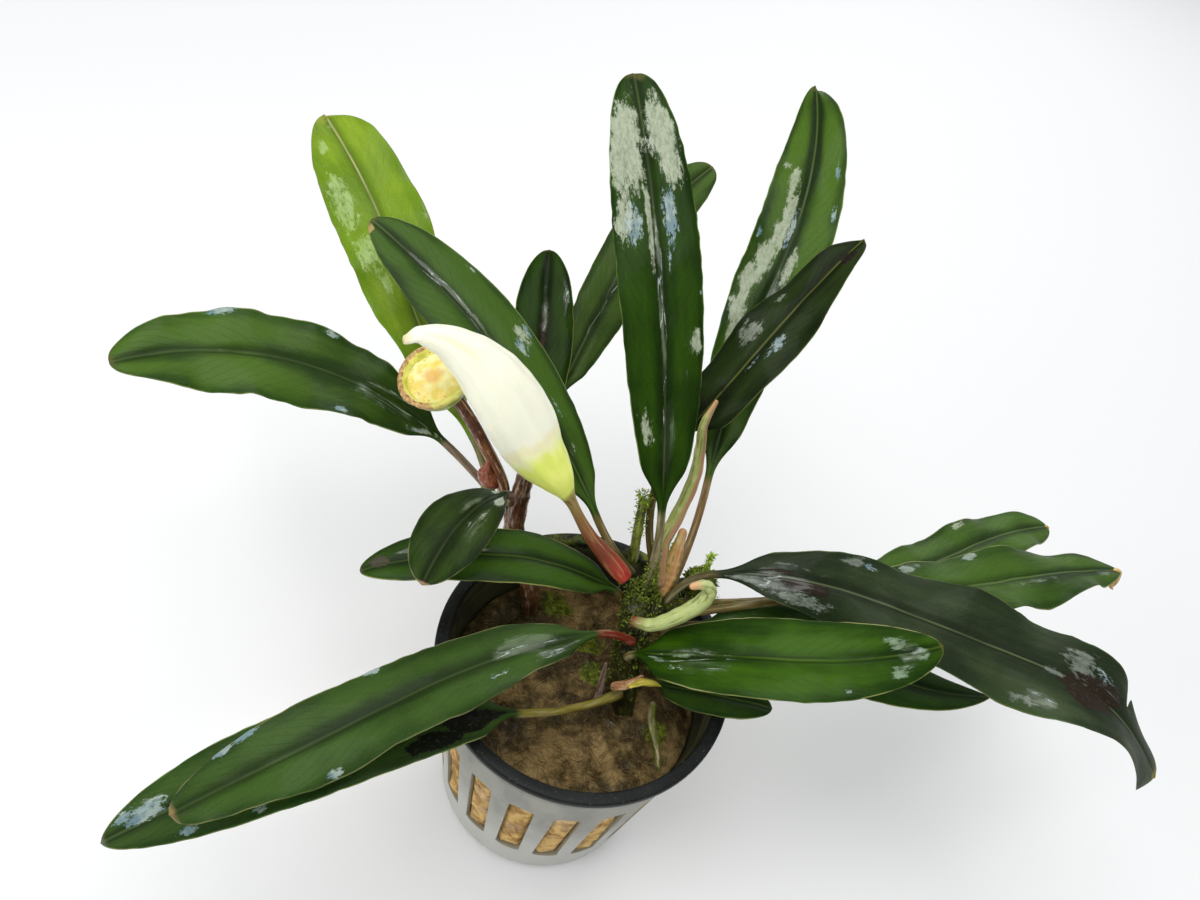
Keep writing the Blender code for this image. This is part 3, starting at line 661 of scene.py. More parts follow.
SLIME_SPOTS = ((-9, 13.4, 41, 4.4), (-0.5, 8.8, 41, 4.0), (-5.6, 6.3, 41, 3.2),
               (16.5, -3.0, 41, 3.0), (13.0, 10.0, 41, 4.0), (2.5, 2.5, 41, 3.6))
wool_look = wet_wool()
matted = finish_from(wool_look, "wool_matted", {}, 0.35, Coat_Roughness=0.25,
                     Specular_IOR_Level=0.2)
loose = finish_from(wool_look, "wool_strand", {
    "Soaked": paint(84, 66, 38), "Main": paint(122, 98, 60), "Light": paint(178, 148, 96)}, 0.1,
    Specular_IOR_Level=0.2)
for name, shape, finish in (("wool_plug", closed_rows(wool_plug()), matted),
                            ("wool_strands", loose_strands(), loose)):
    piece = make_piece(name, *shape, {"slime": near(shape[0], SLIME_SPOTS)})
    settle(piece, finish, "rock_wool")


# The creeping stems. Dark green-brown wood, 3 to 6 mm thick, ringed with the scars of old
# leaves. One rises right of the plug's middle and one leans out over its left edge. A short
# dead stub stands behind the first one's crown, and a thin root lies to its front right.
MAIN_STEM = ((9.6, -0.6, 34.0, 1.9), (9.6, -0.6, 40.0, 2.0), (7.2, 2.9, 47.0, 2.5),
             (5.7, 6.1, 54.5, 2.9), (5.1, 9.3, 60.4, 2.6), (5.0, 9.6, 61.4, 1.6))
SECOND_STEM = ((-13.4, 11.0, 35.0, 1.5), (-13.4, 11.0, 41.0, 1.7), (-15.5, 11.8, 47.6, 1.9),
               (-20.2, 14.2, 54.5, 2.0), (-21.5, 15.6, 62.0, 1.9), (-21.6, 17.2, 68.2, 1.5))
SPENT_STALK = ((0.9, 14.2, 61.8, 0.9), (0.0, 16.2, 65.6, 0.9), (-1.2, 19.8, 70.4, 0.8))
FRONT_ROOT = ((14.0, -0.9, 45.4, 0.7), (15.0, -2.6, 42.9, 0.8), (16.8, -5.6, 42.4, 0.75),
              (18.6, -9.6, 42.3, 0.55))


def smooth_path(points, per_span):
    """Points along a Catmull-Rom curve through the given ones, every column blended alike."""
    rows = np.array(points, float)
    ends = np.vstack([2 * rows[0] - rows[1], rows, 2 * rows[-1] - rows[-2]])
    share = (np.arange(per_span) / per_span)[None, :, None]
    before, start, stop, after = (ends[i:len(ends) - 3 + i, None] for i in range(4))
    spans = 0.5 * (2 * start + (stop - before) * share
                   + (2 * before - 5 * start + 4 * stop - after) * share ** 2
                   + (3 * start - before - 3 * stop + after) * share ** 3)
    return np.vstack([spans.reshape(-1, rows.shape[1]), rows[-1:]])


def frames_along(path):
    """The way that a path runs at each of its points, and two directions square to it, turned
    as little as they can be from one point to the next."""
    ways = unit(np.gradient(path, axis=0))
    sides = np.empty_like(ways)
    side = np.cross(ways[0], [0.0, -1.0, 0.3])
    for i, way in enumerate(ways):
        side = side - way * (side @ way)
        side = side / np.linalg.norm(side)
        sides[i] = side
    return ways, sides, np.cross(ways, sides)


def round_rings(path, sides, swell=None):
    """Rings of a round stem along a path of (x, y, z, radius). Both ends are rounded off with
    five shrinking rings, and swell(middle, share, turn) multiplies the radius all over."""
    ways, side, over = frames_along(path[:, :3])
    tuck = np.linspace(math.pi / 2, 0.15, 6)[::-1][:-1]

    def cap(end, sign, bent):
        reach = sign * ways[end] * np.cos(bent)[:, None] * path[end, 3]
        return np.column_stack([path[end, :3] + reach, path[end, 3] * np.sin(bent)])

    whole = np.vstack([cap(0, -1, tuck), path, cap(-1, 1, tuck[::-1])])
    rows = np.clip(np.arange(len(whole)) - len(tuck), 0, len(path) - 1)
    turn = whole_turn(sides)
    outward = (side[rows][:, None] * np.cos(turn)[None, :, None]
               + over[rows][:, None] * np.sin(turn)[None, :, None])
    radius = whole[:, 3][:, None] * np.ones(sides)
    if swell is not None:
        middle = whole[:, None, :3] + outward * radius[..., None]
        radius = radius * swell(middle, rows[:, None] / len(path), turn[None, :])
    return whole[:, None, :3] + outward * radius[..., None]


def stem_swell(middle, share, turn):
    """A stem's radius: lumps, and a low ridge around it at every old leaf's scar, tilted to one
    side and then to the other."""
    phase = share * 9 + 0.28 * np.cos(turn + 2.4 * np.floor(share * 9))
    ridge = np.exp(-((phase % 1 - 0.5) / 0.11) ** 2)
    return 0.95 + 0.09 * lumps(middle, 1.6, 21) + 0.05 * lumps(middle, 0.7, 22) + 0.09 * ridge


def with_ends(values):
    """A value for each point of a grid, and one for the point in the middle of each end."""
    return np.append(np.ravel(values), [values[0].mean(), values[-1].mean()])


def round_marks(rings):
    """Marks that unroll a round stem without a seam, in millimetres: how far along it a ring
    is, and the cosine and the sine of each point's turn times the ring's mean radius."""
    middle = rings.mean(axis=1)
    along = np.append(0, np.cumsum(np.linalg.norm(np.diff(middle, axis=0), axis=1)))
    radius = np.linalg.norm(rings - middle[:, None], axis=-1).mean(axis=1)[:, None]
    turn = whole_turn(rings.shape[1])[None, :]
    return {"along": with_ends(along[:, None] + 0 * turn),
            "share": with_ends(along[:, None] / along[-1] + 0 * turn),
            "aside": with_ends(radius * np.cos(turn)), "over": with_ends(radius * np.sin(turn))}


def round_piece(name, path, sides, swell, finish, node, steps=16):
    """A round stem along a path, with its marks, settled in its place."""
    rings = round_rings(smooth_path(path, steps), sides, swell)
    settle(make_piece(name, *closed_rows(rings), round_marks(rings)), finish, node)


def unrolled(tree):
    """The socket of a round stem's own place, made from its marks."""
    return add_node(tree, "ShaderNodeCombineXYZ", {
        0: mark(tree, "aside"), 1: mark(tree, "over"), 2: mark(tree, "along")}).outputs[0]


def waxy_bark():
    """Waxy plant skin with flecks and with fine lines and pale streaks along it; on the glossy
    brown stem and the striped stalk the pale streaks are painted wet sheen.
    """
    look, given, result = shared_look(
        "waxy_bark", Darkest=paint(22, 20, 8), Main=paint(56, 52, 24), Light=paint(120, 112, 52),
        Streaks=0.5, Wet=0.5)
    place = object_place(look)
    broad = cloud(place, 260, 4, 0.6)
    fine = cloud(place, 1500, 3, 0.6)
    lines = cloud(unrolled(look), 1.9, 3, 0.6, (1, 1, 0.1))
    colour = laid(given["Darkest"], given["Main"], broad, 0.35, 0.6)
    # On glossy stalks these pale streaks are painted sheen.
    pale = both(ease(lines, 0.53, 0.62), given["Streaks"])
    colour = mix_colours(pale, colour, given["Light"])
    dark = both(ease(lines, 0.46, 0.38), given["Streaks"])
    colour = mix_colours(dark, colour, given["Darkest"])
    colour = laid(colour, given["Light"], fine, 0.6, 0.76, 0.6)
    colour = laid(colour, given["Darkest"], fine, 0.4, 0.28, 0.5)
    return put_out(result, colour, ease(broad, 0.3, 0.7, 0.28, 0.5),
                   both(ease(fine, 0.3, 0.6), given["Wet"]),
                   weighed(0.0, (broad, 0.7), (fine, 0.7), (lines, 1.2)))


bark_look = waxy_bark()


def bark(name, darkest, main, light, streaks=0.5, wet=0.5, depth=0.22):
    """A stem's, root's or scale's own finish."""
    return finish_from(bark_look, name, {
        "Darkest": paint(*darkest), "Main": paint(*main), "Light": paint(*light),
        "Streaks": streaks, "Wet": wet}, depth, Specular_IOR_Level=0.2, Coat_Roughness=0.12)


dark_bark = bark("stem_dark", (20, 20, 8), (54, 54, 22), (104, 104, 42), 0.3)
# The brown stem's pale streaks are painted sheen on its wet skin.
brown_bark = bark("stem_brown", (60, 32, 16), (108, 70, 42), (190, 180, 154), 0.45, 0.8, 0.08)
olive_bark = bark("stub_olive", (62, 70, 20), (112, 120, 44), (160, 162, 84), 0.5, 0.3)
root_skin = bark("root_skin", (78, 84, 28), (124, 128, 58), (206, 178, 150), 0.6, 0.4)
for name, path, sides, skin, slot, node in (
        ("stem_middle", MAIN_STEM, 40, dark_bark, "stem", "main_stem"),
        ("stem_left", SECOND_STEM, 32, brown_bark, "stem", "second_stem"),
        ("stub_dead", SPENT_STALK, 24, olive_bark, "stem", "spent_stalk"),
        ("root_front", FRONT_ROOT, 18, root_skin, "root", "front_root")):
    round_piece(name, path, sides, stem_swell, skin, node)


# The leaves. Leathery straps, wet and arching, on stalks that rise from the two crowns. Each
# is one closed skin: a round stalk that flattens into a blade with two furrows along the
# midrib on top, a raised rib below, two softly bulging halves and rippled margins.
STALK_RADIUS = 0.7
END_CROWDING = 0.65
COLUMN_CROWDING = 0.30
LEAF_ROWS, STALK_ROWS, LEAF_COLUMNS = 150, 16, 52
FURROW_AWAY, FURROW_REACH, FURROW_DEPTH = 0.42, 0.30, 0.17
RIB_HEIGHT, RIB_REACH = 0.42, 0.62
EDGE_CRIMP = 0.16
VEIN_SPACING, VEIN_LEAN = 2.6, 13.0
LEAF_COLOURS = ("Deep", "Bright", "Rib", "Margin", "Stalk", "Film_Glare", "Dry", "Tip")
PATCH_KINDS = ("film", "frost", "wet", "bruise", "bright", "shade")


def leaf_walk(foot, aims, stalk, blade):
    """The midrib's distances, points and ways: heading and rise change evenly between the
    aims, the first at the foot and the rest spread along the blade, and the rows crowd
    towards the blade's two ends."""
    stops = np.concatenate([[-stalk], np.linspace(0, blade, len(aims) - 1)])
    fine = np.linspace(-stalk, blade, 481)
    heading, rise = (np.radians(np.interp(fine, stops, column)) for column in zip(*aims))
    ways = spun(np.cos(rise), heading, np.sin(rise))
    steps = (ways[:-1] + ways[1:]) / 2 * np.diff(fine)[:, None]
    walk = np.array(foot, float) + np.vstack([np.zeros(3), np.cumsum(steps, axis=0)])
    even = np.linspace(0, 1, LEAF_ROWS + 1)
    crowded = even - END_CROWDING * np.sin(2 * math.pi * even) / (2 * math.pi)
    along = np.concatenate([np.linspace(-stalk, 0, STALK_ROWS + 1)[:-1], blade * crowded])
    points, aimed = (joined(*(np.interp(along, fine, column) for column in rows.T))
                     for rows in (walk, ways))
    return along, points, unit(aimed)


def patches(share, across, spots):
    """Patches that fade outwards (place along, place across, reach along, reach across,
    strength), the strongest one at each point of the blade."""
    found = np.zeros(np.broadcast(share, across).shape)
    for along, aside, long, wide, strength in spots:
        apart = ((share - along) / long) ** 2 + ((across - aside) / wide) ** 2
        found = np.maximum(found, strength * np.exp(-apart))
    return found


def leaf_skin(foot, aims, stalk, blade, width, fullest, blunt, roll,
              ripple=((0, 1, 0), (0, 1, 0)), foot_radius=STALK_RADIUS, seed=0, fold=0.03,
              tear=None, notch=None, tip_calm=0, marks=None):
    """Rings along the midrib. Half the width is (t/m)^(2bm) ((1-t)/(1-m))^(2b(1-m)) of the
    widest at a share t of the blade, with m where it is fullest and b how blunt it is. A
    ring's across is the cosine of its turn, whose points crowd at the margins and the midrib,
    and its thickness thins out at the margins. Two furrows beside the midrib, a rib below,
    bulge, fold and ripple are added to that, a tear narrows one side, and a notch draws one
    place of the tip back."""
    along, points, aimed = leaf_walk(foot, aims, stalk, blade)
    run = along[:, None]
    share = np.clip(along / blade, 0, 1)
    level = unit(np.cross(aimed, [0, 0, 1]))
    raised = np.cross(level, aimed)
    tilt = np.radians(np.interp(share, np.linspace(0, 1, len(roll)), roll))[:, None]
    side = level * np.cos(tilt) + raised * np.sin(tilt)
    up = raised * np.cos(tilt) - level * np.sin(tilt)

    flat = smoothly(0, 0.12, run / blade)
    radius = STALK_RADIUS + (foot_radius - STALK_RADIUS) * np.clip(-along * 3 / stalk - 2, 0, 1)
    inside = np.clip(share, 1e-6, 1 - 1e-6)
    outline = ((inside / fullest) ** (2 * blunt * fullest)
               * ((1 - inside) / (1 - fullest)) ** (2 * blunt * (1 - fullest)))
    least = radius * (1 - 0.6 * share) * (1 - 0.75 * share ** 16)
    half = np.maximum(width / 2 * outline, least)[:, None]
    radius = radius[:, None]
    turn = whole_turn(LEAF_COLUMNS)[None, :]
    turn = turn + COLUMN_CROWDING * np.sin(2 * turn)
    across, facing = np.cos(turn), np.sin(turn)
    share = share[:, None]
    wander = lumps(joined(run, 3.0 * np.sign(across), seed), 1.7, 31)
    half = half * (1 - 0.02 * np.abs(across) ** 6 * (1 + wander) * flat)
    if tear is not None:
        place, reach, depth, sign = tear
        gap = np.exp(-np.abs((share - place) / reach) ** 4)
        half = half * (1 - depth * gap * smoothly(0.2, 0.9, across * sign))

    away = np.abs(across) * half
    thick = (0.22 - 0.08 * share) * np.abs(facing) ** 0.8
    groove = (FURROW_DEPTH * np.exp(-((away - FURROW_AWAY) / FURROW_REACH) ** 2)
              + 0.07 * np.exp(-(away / 1.3) ** 2)) * (1 - 0.6 * share)
    rib = RIB_HEIGHT * np.exp(-(away / RIB_REACH) ** 2) * (1 - 0.55 * share)
    bulge = 0.16 * half * np.abs(across) * (1 - np.abs(across)) + fold * away
    face = np.where(facing >= 0, thick - groove, -thick - rib)
    lift = np.zeros_like(half * across)
    begun = np.minimum(1, 4 * share)
    for sign, (height, waves, start) in zip((1, -1), ripple):
        reach = np.where(across * sign > 0, np.abs(across), 0)
        slow = 2 * math.pi * (waves * share + start)
        quick = 2 * math.pi * (2.7 * waves * share + 3 * start + seed)
        lift += height * reach ** 1.5 * np.sin(slow) * begun
        lift += EDGE_CRIMP * reach ** 3 * np.sin(quick) * begun * (1 - share ** 8)
    lift = lift * (1 - tip_calm * smoothly(0.75, 0.97, share))
    skin = joined(run, across * half, seed)
    dimples = 0.12 * lumps(skin, 3.4, 32) + 0.05 * lumps(skin * [0.4, 1, 1], 1.1, 33)
    lift += dimples * (1 - np.abs(across) ** 2)
    high = radius * facing * (1 - flat) + (face + bulge + lift) * flat
    wide = radius * across * (1 - flat) + across * half * flat
    rings = points[:, None] + side[:, None] * wide[..., None] + up[:, None] * high[..., None]
    if notch is not None:
        place, depth = notch
        drawn = depth * np.exp(-((across - place) / 0.35) ** 2) * smoothly(0.93, 0.99, share)
        rings = rings - aimed[:, None] * drawn[..., None]

    share = np.where(run < 0, run / blade, share)
    values = {"across": across, "along": run, "share": share, "away": wide,
              "inset": (1 - np.abs(across)) * half * flat + 3 * (1 - flat),
              "upper": facing > -0.05}
    for kind in PATCH_KINDS:
        values[kind] = patches(share, across, (marks or {}).get(kind, ()))
    return rings, {name: with_ends(value + 0 * wide) for name, value in values.items()}


def off_centre(value, centre):
    """The socket of how far a value is from a centre, to either side."""
    return sums("ABSOLUTE", weighed(-centre, (value, 1.0)))


def leaf_look():
    """A leaf's green and what lies on it. Noise is drawn out along the blade. The green is
    brightest in a band halfway out on each side and darkest beside the midrib, where two dark
    furrows hold a pale line between them; side veins are faint, and a pale line runs along the
    margin in places. Over it lie algae specks and bruises, and painted reflections of water:
    ragged patches of pale lime where a wet film reflects, bluish patches of fine droplets, and
    on wet places a soft pale sheen and thin glints edged with dark."""
    look, given, result = shared_look(
        "leaf_surface", **dict.fromkeys(LEAF_COLOURS, paint(0, 0, 0)), Band=0.5, Veins=0.12,
        Specks=0.3, Gloss=0.3, Ribbing=0.4, Seed=0.0)
    across, along, share, away, inset, upper = (
        mark(look, name) for name in ("across", "along", "share", "away", "inset", "upper"))
    film, frost, wet, bruise, bright, shade = (mark(look, kind) for kind in PATCH_KINDS)
    aside = sums("ABSOLUTE", across)
    beside = sums("ABSOLUTE", away)
    place = fed_node("ShaderNodeCombineXYZ", {0: along, 1: away, 2: given["Seed"]}).outputs[0]
    broad = cloud(place, 0.1, 2, 0.5)
    streak = cloud(place, 0.6, 3, 0.55, (0.13, 1, 1))
    middle = cloud(place, 0.55, 4, 0.6, (0.6, 1, 1))
    fine = cloud(place, 2.6, 3, 0.65, (0.7, 1, 1))
    grain = cloud(place, 6.5, 2, 0.6)
    on_blade = ease(share, 0.02, 0.1)

    # The green, lighter in its band and in grains, darker beside the midrib and where shaded.
    band = both(ease(aside, 0.05, 0.45), ease(aside, 1.0, 0.6))
    light = weighed(-0.95, (both(band, given["Band"]), 0.8), (streak, 0.9), (broad, 1.3),
                    (bright, 0.8), (shade, -0.7))
    green = laid(given["Deep"], given["Bright"], light, -0.1, 0.9)
    darker = mix_colours(0.55, given["Deep"], (0.004, 0.006, 0.001, 1.0))
    green = laid(green, given["Bright"], grain, 0.52, 0.72, 0.3)
    green = laid(green, darker, grain, 0.48, 0.28, 0.45)
    gloom = both(ease(beside, 1.7, 0.3, 0, 0.36), on_blade)
    gloom = sums("MAXIMUM", gloom, sums("MULTIPLY", shade, 0.55))
    green = mix_colours(gloom, green, darker)

    # Side veins, which lean towards the tip, then the furrows, the midrib, the margin and the
    # paler underside.
    run = weighed(0.0, (along, 1.0), (sums("POWER", aside, 1.25), -VEIN_LEAN), (middle, 1.6))
    line = off_centre(sums("FRACT", sums("MULTIPLY", run, 1 / VEIN_SPACING)), 0.5)
    inner = both(ease(aside, 0.04, 0.15), ease(aside, 0.97, 0.8))
    veins = both(both(ease(line, 0.09, 0.0), inner), on_blade)
    green = mix_colours(both(veins, given["Veins"]), green, darker)
    furrow = ease(off_centre(beside, FURROW_AWAY), 0.24, 0.06)
    furrow = both(furrow, both(on_blade, ease(streak, 0.35, 0.55, 0.1, 0.5)))
    green = mix_colours(furrow, green, darker)
    ribbed = both(ease(beside, 0.22, 0.08), both(on_blade, given["Ribbing"]))
    ribbed = both(ribbed, ease(streak, 0.3, 0.55, 0.3, 1.0))
    green = mix_colours(ribbed, green, given["Rib"])
    pale_line = both(ease(inset, 0.26, 0.1), ease(streak, 0.38, 0.56, 0.1, 0.85))
    green = mix_colours(pale_line, green, given["Margin"])
    pale = mix_colours(0.4, green, paint(118, 138, 88))
    green = mix_colours(upper, pale, green)

    # Algae specks, bruises, the dead tip and the lined stalk.
    specks = both(ease(fine, 0.64, 0.72), given["Specks"])
    green = mix_colours(specks, green, paint(16, 18, 7))
    worn = weighed(-1.25, (bruise, 1.0), (middle, 1.1), (fine, 0.5))
    worn = ease(worn, 0.0, 0.16, 0, 0.95)
    dried = laid(given["Dry"], paint(96, 92, 86), fine, 0.56, 0.7, 0.35)
    green = mix_colours(worn, green, dried)
    tip = weighed(0.0, (share, 1.0), (middle, 0.015))
    green = laid(green, given["Tip"], tip, 0.99, 1.005, 0.8)
    stripe = cloud(place, 1.6, 3, 0.55, (0.1, 1, 1))
    pale_stalk = mix_colours(0.35, given["Stalk"], paint(206, 196, 160))
    dark_stalk = mix_colours(0.6, given["Stalk"], paint(30, 26, 10))
    stalk = laid(given["Stalk"], pale_stalk, stripe, 0.5, 0.62, 0.7)
    stalk = laid(stalk, dark_stalk, stripe, 0.48, 0.36, 0.7)
    green = laid(green, stalk, share, 0.02, -0.01)

    # Painted reflections of water: pale lime patches of wet film, which thin out in the furrows,
    # bluish patches of fine droplets, and on wet places a soft sheen and thin glints. The film
    # and droplets also take a coat, and wet places are glossier.
    crumb = cloud(place, 2.4, 4, 0.8, (0.5, 1, 1))
    tear = cloud(place, 1.0, 5, 0.8, (0.35, 1, 1))
    # Painted reflection: pale lime patches where a film of water reflects the light.
    pitted = weighed(-2.6, (film, 1.25), (middle, 1.1), (tear, 1.9), (crumb, 0.7))
    film_glare_mask = both(both(ease(pitted, 0.0, 0.32, 0, 0.92), upper),
                  ease(furrow, 0.15, 0.6, 1.0, 0.15))
    lime = mix_colours(0.45, given["Film_Glare"], green)
    lime = laid(lime, given["Film_Glare"], weighed(0.0, (tear, 0.5), (crumb, 0.5)), 0.38, 0.62)
    green = mix_colours(film_glare_mask, green, lime)
    # Painted reflection: bluish patches where fine droplets reflect the sky.
    droplet_glare_mask = weighed(-2.02, (frost, 1.0), (crumb, 1.3), (tear, 1.1))
    droplet_glare_mask = both(ease(droplet_glare_mask, 0.0, 0.14, 0, 0.75), upper)
    droplets = laid(paint(122, 150, 160), paint(172, 186, 180), middle, 0.42, 0.58)
    green = mix_colours(droplet_glare_mask, green, droplets)
    thread = off_centre(cloud(place, 0.55, 2, 0.5, (0.09, 1, 1)), 0.5)
    wet_and_painted_sheen = both(ease(weighed(-0.95, (wet, 1.0), (middle, 0.9)), 0.0, 0.3), upper)
    glint = both(both(ease(thread, 0.016, 0.004, 0, 0.75), wet_and_painted_sheen), ease(tear, 0.42, 0.56))
    # Painted reflections on the wet places: dark lines, a soft pale sheen and near-white glints.
    green = mix_colours(both(wet_and_painted_sheen, ease(thread, 0.12, 0.04, 0, 0.4)), green, darker)
    green = mix_colours(both(wet_and_painted_sheen, ease(streak, 0.5, 0.66, 0, 0.35)), green,
                        paint(150, 168, 134))
    green = mix_colours(glint, green, paint(188, 200, 192))

    rough = weighed(0.0, (given["Gloss"], 1.0), (middle, 0.24), (wet_and_painted_sheen, -0.22), (film_glare_mask, 0.1))
    coat = sums("MAXIMUM", weighed(0.05, (wet_and_painted_sheen, 0.6)),
                sums("MULTIPLY", sums("MAXIMUM", film_glare_mask, droplet_glare_mask), 0.4))
    height = weighed(0.0, (veins, -0.18), (middle, 0.55), (streak, 0.7), (fine, 0.16),
                     (film_glare_mask, 0.25), (worn, 0.5))
    return put_out(result, green, sums("MAXIMUM", rough, 0.08), coat, height)


leaf_surface = leaf_look()


def greens(deep, bright, rib, margin, stalk, film=(176, 184, 158), dry=(50, 38, 26),
           tip=(92, 90, 44), sheen=0.10, **numbers):
    """A leaf's colours as screen values, turned into the shared look's inputs, and how strongly
    its whole face shines."""
    colours = zip(LEAF_COLOURS, (deep, bright, rib, margin, stalk, film, dry, tip))
    return sheen, {**{name: paint(*value) for name, value in colours}, **numbers}


